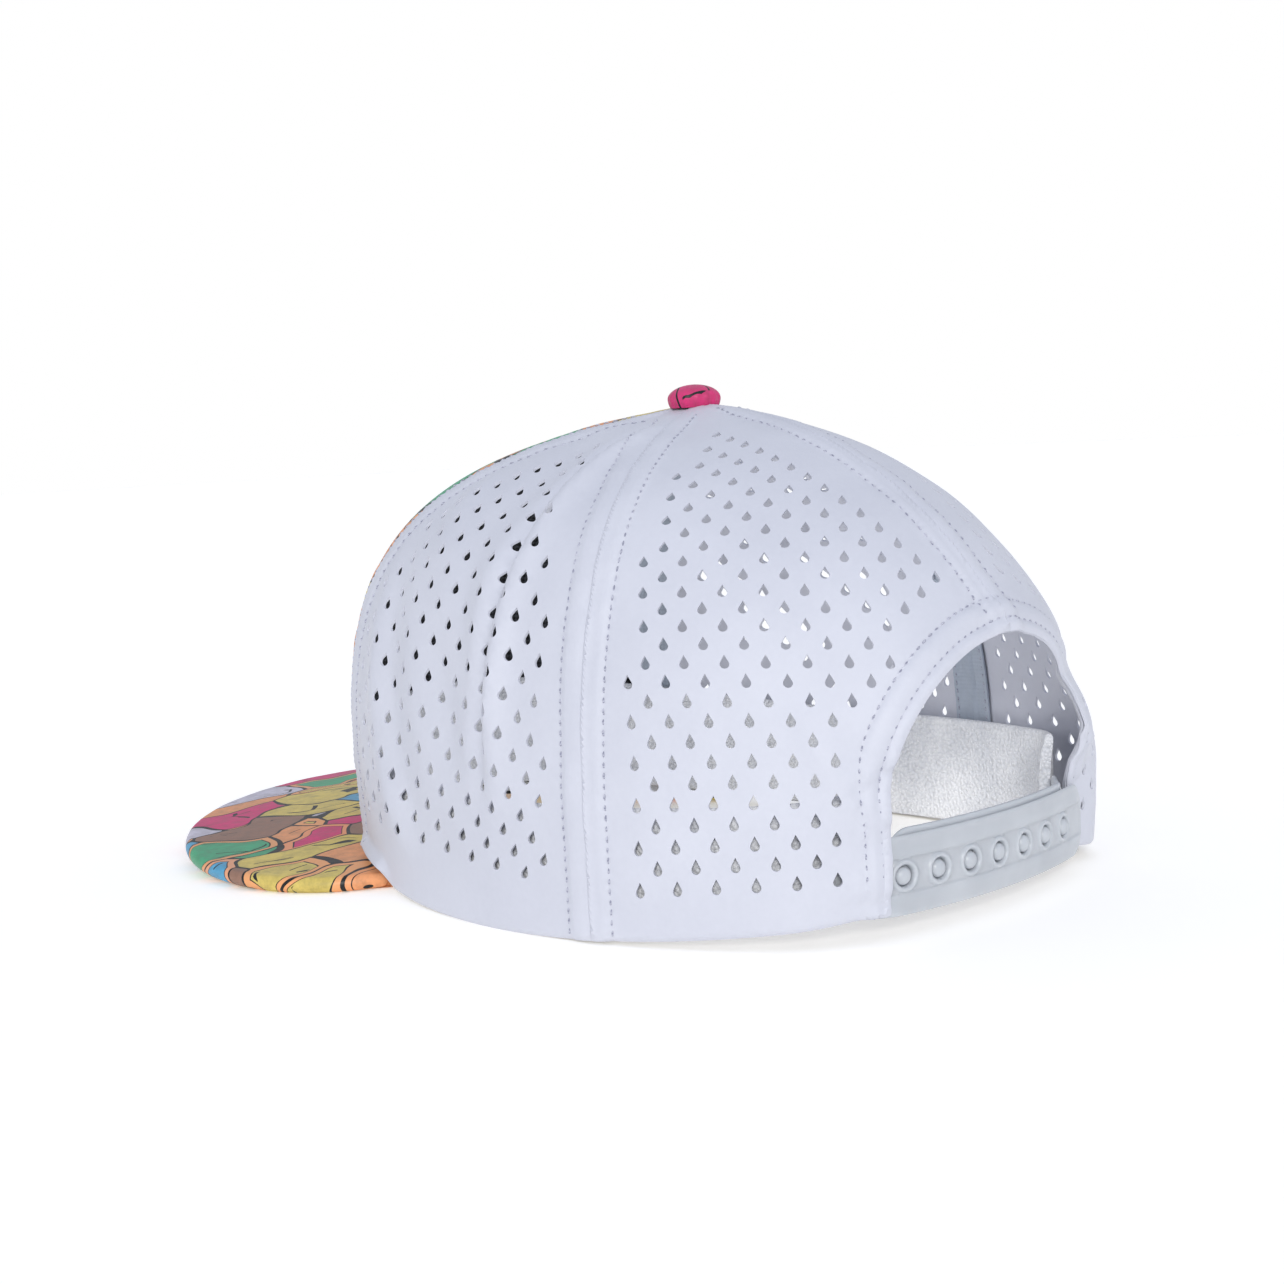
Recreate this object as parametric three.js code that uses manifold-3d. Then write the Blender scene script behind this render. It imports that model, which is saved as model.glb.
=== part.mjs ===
// A five-panel snapback cap with perforated sides and back, a flat covered brim and a two-part plastic size strap.
// Millimetres. +Z is up, the brim points along -Y and the wearer's left is +X. Angles run round the crown from the
// brim's middle (0) over the wearer's left (90) to the back (180); a height share runs from the rim (0) to the
// top (1) along one meridian of the crown.
import * as THREE from "three";
import { mergeVertices } from "three/addons/utils/BufferGeometryUtils.js";
import Module from "manifold-3d";

const wasm = await Module();
wasm.setup();

// Crown: an oval rim, and a cubic profile that changes smoothly from front to side to back.
const REACH = { side: 74.5, front: 102.2, back: 99.2 };
const CROWN_TOP = { y: -0.8, z: 113.9 };
const RIM_RISE = { front: 8.6, side: 0, back: 7.6 };
// lift and lean place the profile's lower handle, shoulder and drop its upper one, as shares of height and reach.
const PROFILE = {
  front: { lift: 0.657, lean: 0.141, shoulder: 0.964, drop: 0.079 },
  side: { lift: 0.536, lean: 0, shoulder: 1.038, drop: 0.162 },
  back: { lift: 0.455, lean: 0.146, shoulder: 0.595, drop: 0.023 },
};
const FRONT_SEAM = 45.3;
const REAR_SEAM = 107.2;
const PANEL_TOP = 0.985;

// Arched opening at the back, and how far the strap draws its two tabs in below the arch.
const OPENING = { halfAngle: 30.8, archStart: 0.14, archTop: 0.374 };
const TAB_NARROWING = 2.4;
const TAB_PULL = { left: 4.9, right: 9.2 };
const TAB_PULL_WIDTH = { left: 18, right: 26 };
const TAB_FADE = { from: 0.1, to: 0.3 };

// Layers, as depths below the crown's outer face.
const GAP = 0.3;
const CLOTH = 0.8;
const LINING_DEPTH = CLOTH + GAP;
const BINDING_DEPTH = LINING_DEPTH + 0.2;
const ROOT_DEPTH = BINDING_DEPTH + CLOTH + GAP;
const TAPE_HALF_WIDTH = 6.5;
const BINDING = { inset: 0.9, width: 10 };
const SWEATBAND = { thickness: 2.5, height: 0.17, depth: 2.2, tabDepth: 4.2, endBehindTab: 5 };

// Brim: two cloth covers on a plastic board, a flat oval with rounded rear corners.
const BRIM = { length: 63.8, cornerAngle: 59.1, roundness: 1.8, fullness: 2, droop: 1.8, drop: 0.09 };
const BRIM_COVER = 0.6;
const BOARD = 2.2;
const BRIM_HALF = BOARD / 2 + GAP + BRIM_COVER;
const BRIM_TUCK = 1.8;

// Covered button on top of the crown.
const BUTTON = { radius: 6.4, height: 5, cover: 0.5, shell: 0.6 };
const PRONG = { radius: 1.2, washer: 5.5, washerTop: -2.6, thickness: 0.6, top: 1.5 };

// Size strap: two bands on one arc behind the opening, the outer with holes and the inner with pegs.
const STRAP = { radius: 140.7, backY: 86.6, thickness: 1.2, bottom: 4.9, corner: 6 };
const OUTER_HEIGHT = 17;
const INNER_HEIGHT = 18.2;
const PEG = { count: 7, pitch: 9.72, offset: -2, z: 13.4, radius: 1.95, clearance: 0.6, above: 0.5 };
const HINGE_X = 34.2;
const OUTER_END_X = -40;
const INNER_END_X = 33.8;
const INNER_TUCK = { start: 28.5, depth: 2.6 };
const ROOT_LENGTH = 8;
const ROOT_BEHIND_EDGE = 1.9;

const rad = THREE.MathUtils.degToRad;
const { smoothstep, lerp } = THREE.MathUtils;
const range = (n) => Array.from({ length: n }, (_, i) => i);
const spread = (from, to, cells) => range(cells + 1).map((i) => lerp(from, to, i / cells));

// ---- crown surface -------------------------------------------------------------------------------------------

function blend(angle, values) {
  const c = Math.cos(rad(angle));
  return values.side + ((c > 0 ? values.front : values.back) - values.side) * c * c;
}

const handle = (angle, key) =>
  blend(angle, { front: PROFILE.front[key], side: PROFILE.side[key], back: PROFILE.back[key] });

// How strongly the strap draws the crown in at this place, in millimetres.
function tabPull(angle, t) {
  const side = angle > 0 ? "left" : "right";
  const behindTab = 180 - OPENING.halfAngle + TAB_NARROWING - Math.abs(angle);
  const near = 1 - smoothstep(behindTab, 0, TAB_PULL_WIDTH[side]);
  return TAB_PULL[side] * near * (1 - smoothstep(t, TAB_FADE.from, TAB_FADE.to));
}

function surface(angle, t) {
  const [b0, b1, b2, b3] = [(1 - t) ** 3, 3 * t * (1 - t) ** 2, 3 * t * t * (1 - t), t ** 3];
  const out = b0 + b1 * (1 + handle(angle, "lean")) + b2 * handle(angle, "shoulder");
  const up = b1 * handle(angle, "lift") + b2 * (1 - handle(angle, "drop")) + b3;
  const c = Math.cos(rad(angle));
  const rim = blend(angle, RIM_RISE);
  return new THREE.Vector3(
    REACH.side * Math.sin(rad(angle)) * out,
    -(c > 0 ? REACH.front : REACH.back) * c * out + CROWN_TOP.y * up * up - tabPull(angle, t),
    rim + (CROWN_TOP.z - rim) * up,
  );
}

function crownPoint(angle, t, depth = 0) {
  const step = 1e-3;
  const round = surface(angle + step, t).sub(surface(angle - step, t));
  const rise = surface(angle, t + step).sub(surface(angle, t - step));
  return surface(angle, t).addScaledVector(round.cross(rise).normalize(), -depth);
}

// The turn, in degrees, that moves a point this many millimetres round the crown.
const turnFor = (angle, t, length) => (length * 0.02) / surface(angle + 0.01, t).distanceTo(surface(angle - 0.01, t));

// The height share at which cloth clears the top of the brim.
function hem(angle) {
  const overBrim = 1 - smoothstep(Math.abs(angle), BRIM.cornerAngle + 1, BRIM.cornerAngle + 5);
  return ((BRIM_HALF - BRIM.drop + GAP) * overBrim) / (3 * handle(angle, "lift") * CROWN_TOP.z);
}

function openingHalf(t) {
  const up = Math.max(0, (t - OPENING.archStart) / (OPENING.archTop - OPENING.archStart));
  const narrowing = TAB_NARROWING * (1 - smoothstep(t, TAB_FADE.from, TAB_FADE.to));
  return up >= 1 ? 0 : OPENING.halfAngle * Math.sqrt(1 - up * up) - narrowing;
}

// Height shares of the cloth's rows: even below the arch, closer where the arch closes, even to the top.
const ARCH_ROWS = range(7).map((i) => {
  const share = Math.sin(rad((90 * (i + 1)) / 7));
  return lerp(OPENING.archStart, OPENING.archTop, share);
});
const ROWS = [...spread(0, OPENING.archStart, 2), ...ARCH_ROWS, ...spread(0.43, PANEL_TOP, 9)];

// ---- solids --------------------------------------------------------------------------------------------------

function closed(positions, index) {
  const geometry = new THREE.BufferGeometry();
  geometry.setAttribute("position", new THREE.Float32BufferAttribute(positions, 3));
  geometry.setIndex(index);
  return geometry;
}

function volume(positions, index) {
  const corner = (i) => new THREE.Vector3().fromArray(positions, 3 * i);
  let six = 0;
  for (let i = 0; i < index.length; i += 3) {
    six += corner(index[i]).dot(corner(index[i + 1]).cross(corner(index[i + 2])));
  }
  return six / 6;
}

// A closed sheet from the rows of points on its two faces, with walls round its edge.
function sheet(outer, inner) {
  const last = outer.length - 1;
  const side = outer[0].length - 1;
  const at = (face, r, c) => (face * (last + 1) + r) * (side + 1) + c;
  const index = [];
  const quad = (a, b, c, d) => index.push(a, b, c, a, c, d);
  for (const r of range(last)) {
    for (const c of range(side)) {
      quad(at(0, r, c), at(0, r, c + 1), at(0, r + 1, c + 1), at(0, r + 1, c));
      quad(at(1, r, c), at(1, r + 1, c), at(1, r + 1, c + 1), at(1, r, c + 1));
    }
    quad(at(0, r, 0), at(0, r + 1, 0), at(1, r + 1, 0), at(1, r, 0));
    quad(at(0, r + 1, side), at(0, r, side), at(1, r, side), at(1, r + 1, side));
  }
  for (const c of range(side)) {
    quad(at(0, 0, c + 1), at(0, 0, c), at(1, 0, c), at(1, 0, c + 1));
    quad(at(0, last, c), at(0, last, c + 1), at(1, last, c + 1), at(1, last, c));
  }
  const positions = [...outer, ...inner].flat().flatMap((p) => p.toArray());
  if (volume(positions, index) < 0) {
    index.reverse();
  }
  return closed(positions, index);
}

// A piece of cloth in the crown: its edges are angles that may change with height.
function crownSheet({ from, to, rows, columns, depth, thickness, start = hem }) {
  const face = (below) =>
    rows.map((row) =>
      range(columns + 1).map((c) => {
        const angle = lerp(from(row), to(row), c / columns);
        const t = row + start(angle) * (1 - row);
        return crownPoint(angle, t, (typeof depth === "function" ? depth(angle) : depth) + below);
      }),
    );
  return sheet(face(0), face(thickness));
}

function toSolid(geometry) {
  const bare = geometry.clone();
  bare.deleteAttribute("normal");
  bare.deleteAttribute("uv");
  const merged = mergeVertices(bare, 1e-4);
  const mesh = new wasm.Mesh({
    numProp: 3,
    vertProperties: new Float32Array(merged.attributes.position.array),
    triVerts: new Uint32Array(merged.index.array),
  });
  return new wasm.Manifold(mesh);
}

function fromSolid(solid) {
  const mesh = solid.getMesh();
  return closed(Array.from(mesh.vertProperties), Array.from(mesh.triVerts));
}

// A solid of revolution about +Z from (radius, height) points.
function turned(points, segments = 18) {
  const profile = points.map(([r, z]) => new THREE.Vector2(r, z));
  return new THREE.LatheGeometry(profile, segments).rotateX(Math.PI / 2);
}

// ---- crown cloth ---------------------------------------------------------------------------------------------

// A panel's edge beside a seam, half a gap away from it.
const beside = (seam, direction) => (t) => seam + direction * turnFor(seam, t, GAP / 2);

function frontPanel() {
  return crownSheet({
    from: beside(-FRONT_SEAM, 1), to: beside(FRONT_SEAM, -1), rows: ROWS, columns: 16, depth: 0, thickness: CLOTH,
  });
}

function frontBuckram() {
  const inset = TAPE_HALF_WIDTH + GAP;
  const rows = ROWS.filter((t) => t < 0.94);
  const edge = (t) => FRONT_SEAM - turnFor(FRONT_SEAM, t, inset);
  return crownSheet({
    from: (t) => -edge(t), to: edge, rows, columns: 14, depth: LINING_DEPTH, thickness: CLOTH,
  });
}

function sidePanel(side) {
  return crownSheet({
    from: beside(side * FRONT_SEAM, side), to: beside(side * REAR_SEAM, -side), rows: ROWS, columns: 9,
    depth: 0, thickness: CLOTH,
  });
}

function backPanel(side) {
  const centre = (t) => 180 - turnFor(180, t, GAP / 2);
  return crownSheet({
    from: beside(side * REAR_SEAM, side), to: (t) => side * Math.min(centre(t), 180 - openingHalf(t)),
    rows: ROWS, columns: 10, depth: 0, thickness: CLOTH,
  });
}

function seamTape(seam, rows) {
  const halfTurn = (t) => {
    const middle = surface(seam, t);
    const radius = Math.hypot(middle.x, middle.y - CROWN_TOP.y);
    const width = Math.min(TAPE_HALF_WIDTH, radius * Math.sin(rad((REAR_SEAM - FRONT_SEAM) / 2)) - GAP);
    return turnFor(seam, t, width);
  };
  return crownSheet({
    from: (t) => seam - halfTurn(t), to: (t) => seam + halfTurn(t), rows, columns: 2,
    depth: LINING_DEPTH, thickness: CLOTH,
  });
}

// The band behind the opening's edge, up one tab, over the arch and down the other.
function openingBinding() {
  const degreesPerMm = 0.73;
  const sharePerMm = 0.0065;
  const sides = spread(0.01, OPENING.archStart, 3).slice(0, -1);
  const arch = spread(0, 180, 18);
  const edge = (width, place) => {
    const half = OPENING.halfAngle + width * degreesPerMm;
    const top = OPENING.archTop - OPENING.archStart + width * sharePerMm;
    const t = place.t ?? OPENING.archStart + top * Math.sin(rad(place.turn));
    const narrowing = TAB_NARROWING * (1 - smoothstep(t, TAB_FADE.from, TAB_FADE.to));
    const across = (place.side ?? Math.cos(rad(place.turn))) * (half - narrowing);
    return { angle: across >= 0 ? 180 - across : -180 - across, t };
  };
  const places = [
    ...sides.map((t) => ({ t, side: 1 })),
    ...arch.map((turn) => ({ turn })),
    ...sides.reverse().map((t) => ({ t, side: -1 })),
  ];
  const face = (depth) =>
    places.map((place) =>
      spread(BINDING.inset, BINDING.width, 2).map((width) => {
        const { angle, t } = edge(width, place);
        return crownPoint(angle, t, depth);
      }),
    );
  return sheet(face(BINDING_DEPTH), face(BINDING_DEPTH + CLOTH));
}

function sweatband() {
  const end = 180 - openingHalf(0) - SWEATBAND.endBehindTab;
  const depth = (angle) => {
    const nearTab = smoothstep(Math.abs(angle), end - 20, end - 6);
    return lerp(SWEATBAND.depth, SWEATBAND.tabDepth, nearTab);
  };
  return crownSheet({
    from: () => -end, to: () => end, rows: spread(0.004, SWEATBAND.height, 3), columns: 52,
    depth, thickness: SWEATBAND.thickness, start: () => 0,
  });
}

// ---- brim ----------------------------------------------------------------------------------------------------

// One column across the brim: the place where it meets the rim, and the outline's point inset by some distance.
function brimColumns(inset) {
  const outline = (angle) => {
    const share = Math.min(1, Math.abs(angle) / BRIM.cornerAngle);
    const width = (1 - share ** BRIM.roundness) ** (1 / BRIM.fullness);
    const rim = surface(angle, 0);
    const away = new THREE.Vector3(
      Math.sin(rad(angle)) / REACH.side, -Math.cos(rad(angle)) / REACH.front, 0,
    ).normalize();
    rim.z -= BRIM.droop * width + BRIM.drop;
    return rim.addScaledVector(away, BRIM.length * width);
  };
  const almostCorner = 88;
  const shrink = 1 - inset / 60;
  return spread(-almostCorner, almostCorner, 32).map((turn) => {
    const angle = BRIM.cornerAngle * Math.sin(rad(turn));
    const tangent = outline(angle + 0.02).sub(outline(angle - 0.02)).setZ(0).normalize();
    const inward = new THREE.Vector3(-tangent.y, tangent.x, 0);
    const rim = crownPoint(angle * shrink, 0, BRIM_TUCK);
    rim.z = surface(angle * shrink, 0).z - BRIM.drop;
    return { rim, edge: outline(angle).addScaledVector(inward, inset), inward };
  });
}

// A brim layer from its lower to its upper height, measured from the brim's middle.
function brimLayer(inset, low, high) {
  const columns = brimColumns(inset);
  const face = (z) =>
    spread(0, 1, 3).map((share) =>
      columns.map(({ rim, edge }) => rim.clone().lerp(edge, share).add(new THREE.Vector3(0, 0, z))),
    );
  return sheet(face(high), face(low));
}

// The top cover also turns down round the board's edge.
function brimTopCover() {
  const columns = brimColumns(0);
  const lipBottom = -BOARD / 2;
  const face = (inset, z) => {
    const move = ({ rim, edge, inward }, share, up) =>
      rim.clone().lerp(edge.clone().addScaledVector(inward, inset), share).add(new THREE.Vector3(0, 0, up));
    const top = spread(0, 1, 3).map((share) => columns.map((column) => move(column, share, z)));
    return [...top, columns.map((column) => move(column, 1, lipBottom))];
  };
  return sheet(face(0, BRIM_HALF), face(BRIM_COVER, BRIM_HALF - BRIM_COVER));
}

const brimBoard = () => brimLayer(BRIM_COVER + GAP, -BOARD / 2, BOARD / 2);
const brimUnderCover = () => brimLayer(0, -BRIM_HALF, -BRIM_HALF + BRIM_COVER);

// ---- button --------------------------------------------------------------------------------------------------

// A quarter-oval from the side at the given height up to the axis.
const domeLine = (radius, bottom, top) =>
  spread(0, 90, 5).map((turn) => [radius * Math.cos(rad(turn)), bottom + (top - bottom) * Math.sin(rad(turn))]);

function dome(radius, bottom, top, wall) {
  const waist = bottom + (top - bottom) * 0.3;
  const outside = domeLine(radius, waist, top);
  const inside = domeLine(radius - wall, waist, top - wall).reverse();
  outside[5][0] = 0;
  inside[0][0] = 0;
  const points = [...inside, [radius - wall, bottom], [radius, bottom], ...outside];
  return turned(points).translate(0, CROWN_TOP.y, CROWN_TOP.z);
}

const buttonCover = () => dome(BUTTON.radius, GAP, BUTTON.height, BUTTON.cover);

function buttonShell() {
  const inset = BUTTON.cover + GAP;
  return dome(BUTTON.radius - inset, GAP, BUTTON.height - inset, BUTTON.shell);
}

function buttonProng() {
  const washerBottom = PRONG.washerTop - PRONG.thickness;
  const points = [
    [0, washerBottom], [PRONG.washer, washerBottom], [PRONG.washer, PRONG.washerTop],
    [PRONG.radius, PRONG.washerTop], [PRONG.radius, PRONG.top], [0, PRONG.top],
  ];
  return turned(points, 16).translate(0, CROWN_TOP.y, CROWN_TOP.z);
}

// ---- size strap ----------------------------------------------------------------------------------------------

const OUTER_MID = STRAP.radius - STRAP.thickness / 2;
const INNER_MID = OUTER_MID - STRAP.thickness - GAP;
const arcCentreY = STRAP.backY - STRAP.radius;

// A place on the strap's arc: positive turns go towards the wearer's right.
const onArc = (radius, turn, z) =>
  new THREE.Vector3(-radius * Math.sin(turn), arcCentreY + radius * Math.cos(turn), z);
const turnAtX = (radius, x) => -Math.asin(x / radius);

function innerMid(turn) {
  const x = -INNER_MID * Math.sin(turn);
  return INNER_MID - INNER_TUCK.depth * smoothstep(-x, INNER_TUCK.start, HINGE_X);
}

// A band from its rounded root to a free end with rounded corners.
function band({ mid, root, end, bottom, height }) {
  const half = STRAP.thickness / 2;
  const length = Math.abs(end - root) * STRAP.radius;
  const rootPlaces = [20, 55, 90].map((turn) => half * (1 - Math.cos(rad(turn))));
  const endPlaces = [0, 15, 30, 45, 60, 75, 90].map((turn) => length - STRAP.corner * (1 - Math.sin(rad(turn))));
  const places = [...rootPlaces, ...spread(3, length - STRAP.corner, 16).slice(0, -1), ...endPlaces];
  const section = (place, sign) => {
    const turn = lerp(root, end, (place - half) / (length - half));
    const fromRoot = Math.max(0, half - place);
    const reach = Math.sqrt(half * half - fromRoot * fromRoot);
    const fromCorner = Math.max(0, STRAP.corner - (length - place));
    const cut = STRAP.corner - Math.sqrt(STRAP.corner ** 2 - fromCorner ** 2);
    const here = (z) => onArc(mid(turn), turn, z);
    const along = onArc(mid(turn + 1e-4), turn + 1e-4, 0).sub(onArc(mid(turn - 1e-4), turn - 1e-4, 0)).normalize();
    const out = new THREE.Vector3(along.y, -along.x, 0);
    return [bottom + cut, bottom + height - cut].map((z) => here(z).addScaledVector(out, sign * reach));
  };
  return sheet(places.map((place) => section(place, 1)), places.map((place) => section(place, -1)));
}

const pegTurns = range(PEG.count).map((i) => ((i - (PEG.count - 1) / 2) * PEG.pitch + PEG.offset) / STRAP.radius);

// A cylinder or round-topped peg that stands on the inner band, pointing out of the arc.
function onPegAxis(geometry, turn) {
  const place = onArc(INNER_MID, turn, PEG.z);
  return geometry.rotateX(-Math.PI / 2).rotateZ(turn).translate(place.x, place.y, place.z);
}

function strapOuter() {
  const strip = band({
    mid: () => OUTER_MID, root: turnAtX(OUTER_MID, HINGE_X), end: turnAtX(OUTER_MID, OUTER_END_X),
    bottom: STRAP.bottom, height: OUTER_HEIGHT,
  });
  const radius = PEG.radius + PEG.clearance;
  const hole = () => turned([[0, -1], [radius, -1], [radius, 6], [0, 6]], 14);
  return fromSolid(pegTurns.reduce((solid, turn) => solid.subtract(toSolid(onPegAxis(hole(), turn))), toSolid(strip)));
}

function strapInner() {
  const strip = band({
    mid: innerMid, root: turnAtX(INNER_MID - INNER_TUCK.depth, -HINGE_X), end: turnAtX(INNER_MID, INNER_END_X),
    bottom: STRAP.bottom, height: INNER_HEIGHT,
  });
  const top = 1.5 * STRAP.thickness + GAP + PEG.above;
  const edge = 0.6;
  const line = [
    [0, 0], [PEG.radius, 0], [PEG.radius, top - edge], [PEG.radius - edge / 2, top - edge / 4], [0, top],
  ];
  const peg = () => turned(line, 12);
  return fromSolid(pegTurns.reduce((solid, turn) => solid.add(toSolid(onPegAxis(peg(), turn))), toSolid(strip)));
}

// The sewn-in end of a band, inside the tab between its binding and the sweatband.
function strapRoot(side) {
  const edge = 180 - openingHalf(0) - ROOT_BEHIND_EDGE;
  const rows = [0.012, 0.06, 0.106];
  return crownSheet({
    from: () => side * (edge - ROOT_LENGTH), to: () => side * edge, rows, columns: 4,
    depth: ROOT_DEPTH, thickness: STRAP.thickness, start: () => 0,
  });
}

// ---- assembly ------------------------------------------------------------------------------------------------

function material(color, roughness, metalness = 0) {
  return new THREE.MeshStandardMaterial({ color, roughness, metalness, side: THREE.FrontSide });
}

const WHITE_CLOTH = material("#d6dae6", 0.55);
const PRINTED_CLOTH = material("#cdb878", 0.6);
const LINING = material("#8d9aac", 0.8);
const BUCKRAM = material("#2a2d32", 0.9);
const TERRY = material("#e9ebef", 0.95);
const BOARD_PLASTIC = material("#b9bcc0", 0.5);
const STRAP_PLASTIC = material("#ccd8dc", 0.3);
const STEEL = material("#b8bcc2", 0.3, 1);

const cap = new THREE.Group();

function add(name, geometry, look) {
  const mesh = new THREE.Mesh(geometry, look);
  mesh.name = name;
  cap.add(mesh);
}

add("front_panel", frontPanel(), PRINTED_CLOTH);
add("front_buckram", frontBuckram(), BUCKRAM);
for (const [name, side] of [["left", 1], ["right", -1]]) {
  const rows = ROWS.filter((t) => t < 0.96);
  add(`side_panel_${name}`, sidePanel(side), WHITE_CLOTH);
  add(`back_panel_${name}`, backPanel(side), WHITE_CLOTH);
  add(`seam_tape_front_${name}`, seamTape(side * FRONT_SEAM, rows), LINING);
  add(`seam_tape_rear_${name}`, seamTape(side * REAR_SEAM, rows), LINING);
}
add("seam_tape_back", seamTape(180, ROWS.filter((t) => t > 0.45 && t < 0.96)), LINING);
add("opening_binding", openingBinding(), WHITE_CLOTH);
add("sweatband", sweatband(), TERRY);
add("brim_top_cover", brimTopCover(), PRINTED_CLOTH);
add("brim_board", brimBoard(), BOARD_PLASTIC);
add("brim_under_cover", brimUnderCover(), PRINTED_CLOTH);
add("button_cover", buttonCover(), PRINTED_CLOTH);
add("button_shell", buttonShell(), STEEL);
add("button_prong", buttonProng(), STEEL);
add("strap_outer", strapOuter(), STRAP_PLASTIC);
add("strap_inner", strapInner(), STRAP_PLASTIC);
add("strap_outer_root", strapRoot(1), STRAP_PLASTIC);
add("strap_inner_root", strapRoot(-1), STRAP_PLASTIC);

// The cap stands on Z = 0 with the middle of its length on Y = 0.
const box = new THREE.Box3().setFromObject(cap);
cap.position.set(0, -(box.min.y + box.max.y) / 2, -box.min.z);

export default cap;
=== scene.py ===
# A five-panel snapback cap with perforated sides and back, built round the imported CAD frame.
import math

import bpy
import numpy as np
from mathutils import Matrix, Vector, geometry


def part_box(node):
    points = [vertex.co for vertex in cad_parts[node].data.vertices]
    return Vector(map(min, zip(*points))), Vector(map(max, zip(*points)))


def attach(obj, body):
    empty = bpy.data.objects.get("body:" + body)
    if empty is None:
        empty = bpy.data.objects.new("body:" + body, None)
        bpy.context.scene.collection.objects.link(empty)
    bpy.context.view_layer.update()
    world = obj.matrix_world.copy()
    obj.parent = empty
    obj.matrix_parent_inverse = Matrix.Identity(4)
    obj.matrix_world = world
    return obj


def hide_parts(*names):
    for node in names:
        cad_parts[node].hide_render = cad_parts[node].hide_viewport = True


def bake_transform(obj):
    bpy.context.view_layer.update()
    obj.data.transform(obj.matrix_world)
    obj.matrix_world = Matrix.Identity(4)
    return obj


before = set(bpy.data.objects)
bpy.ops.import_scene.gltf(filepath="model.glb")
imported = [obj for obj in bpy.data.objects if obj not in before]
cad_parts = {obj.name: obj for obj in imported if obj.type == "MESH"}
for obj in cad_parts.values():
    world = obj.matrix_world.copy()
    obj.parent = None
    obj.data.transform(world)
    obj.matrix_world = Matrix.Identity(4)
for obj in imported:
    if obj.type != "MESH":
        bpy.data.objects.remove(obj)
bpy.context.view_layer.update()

# Sizes are in millimetres in the crown's own frame, as in the CAD source, and become metres in metres().
# Angles run round the crown from the brim's middle (0) over the wearer's left (90) to the back (180).
# A height share t runs from the rim (0) to the crown's top (1) along one meridian.
REACH = {"side": 74.5, "front": 102.2, "back": 99.2}
TOP_Y = -0.8
TOP_Z = 113.9
RIM_RISE = {"front": 8.6, "side": 0, "back": 7.6}
LIFT = {"front": 0.657, "side": 0.536, "back": 0.455}
LEAN = {"front": 0.141, "side": 0, "back": 0.146}
SHOULDER = {"front": 0.964, "side": 1.038, "back": 0.595}
DROP = {"front": 0.079, "side": 0.162, "back": 0.023}
FRONT_SEAM = 45.3
REAR_SEAM = 107.2
PANEL_TOP = 0.985
CENTRE_BACK = 179.99
BACK_LIMIT = 179.995
BESIDE_BACK = 179.4

OPENING_HALF = 30.8
ARCH_START = 0.14
ARCH_TOP = 0.374
TAB_NARROWING = 2.4
TAB_PULL = {"left": 4.9, "right": 9.2}
TAB_PULL_WIDTH = {"left": 18, "right": 26}
TAB_FADE = (0.1, 0.3)
DEGREES_PER_MM = 0.73
SHARE_PER_MM = 0.0065

CLOTH = 0.6
TAPE_DEPTH = 1.1
TAPE_HALF_WIDTH = 6.5
BINDING_DEPTH = 1.3
BINDING = (0.9, 10)
BUCKRAM_INSET = 6.8
SWEATBAND = {"thickness": 2.5, "height": 0.17, "depth": 2.2, "tab_depth": 4.2, "end_behind_tab": 5}

BRIM = {"length": 63.8, "corner": 59.1, "roundness": 1.8, "droop": 1.8, "drop": 0.09, "half": 2.0}
BRIM_TUCK = 1.8

BUTTON = {"radius": 6.4, "height": 5, "cover": 0.5, "bottom": 0.3, "skirt": -0.6, "disc": 17.5}
BUTTON_WAIST = BUTTON["bottom"] + (BUTTON["height"] - BUTTON["bottom"]) * 0.3

STRAP = {"radius": 140.7, "back_y": 86.6, "thickness": 1.2, "bottom": 4.9, "corner": 6}
STRAP_GAP = 0.3
OUTER_HEIGHT = 17
INNER_HEIGHT = 18.2
PEG = {"count": 7, "pitch": 9.72, "offset": -2, "z": 13.4, "radius": 1.95, "clearance": 0.6}
HINGE_X = 34.2
OUTER_END_X = -40
INNER_END_X = 33.8
INNER_TUCK = (28.5, 2.6)

# Stitching: rows beside a seam and along the opening's edge.
ROW_BESIDE_SEAM = 5.5
ROW_TOP = 0.95
OPENING_ROWS = {"tab": (2.2, 5.8), "arch": (3.0, 8.0)}
STITCH = {"pitch": 2.3, "length": 1.6, "radius": 0.23, "sink": 0.16, "rise": 0.3}

# Perforation: staggered teardrops on a square lattice.
HOLE = {"width": 2.05, "height": 3.2, "pitch": 8.5}

button_low, button_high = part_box("button_cover")
SHIFT = np.array([
    (button_low.x + button_high.x) / 2,
    (button_low.y + button_high.y) / 2 - TOP_Y / 1000,
    button_low.z - (TOP_Z + BUTTON["bottom"]) / 1000,
])


def metres(points):
    return np.asarray(points, float) / 1000 + SHIFT


def smooth(x, low, high):
    share = np.clip((np.asarray(x, float) - low) / (high - low), 0, 1)
    return share * share * (3 - 2 * share)


def bump(x, width):
    return np.exp(-((np.asarray(x) / width) ** 2))


def unit(vectors):
    return vectors / np.linalg.norm(vectors, axis=-1, keepdims=True)


def running(path):
    """The length along a line of points from its start to each of them."""
    return np.concatenate([[0], np.cumsum(np.linalg.norm(np.diff(path, axis=0), axis=1))])


# ---- crown surface ----

def around(angle, values):
    c = np.cos(np.radians(angle))
    end = np.where(c > 0, values["front"], values["back"])
    return values["side"] + (end - values["side"]) * c * c


def narrowing(t):
    return TAB_NARROWING * (1 - smooth(t, *TAB_FADE))


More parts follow.
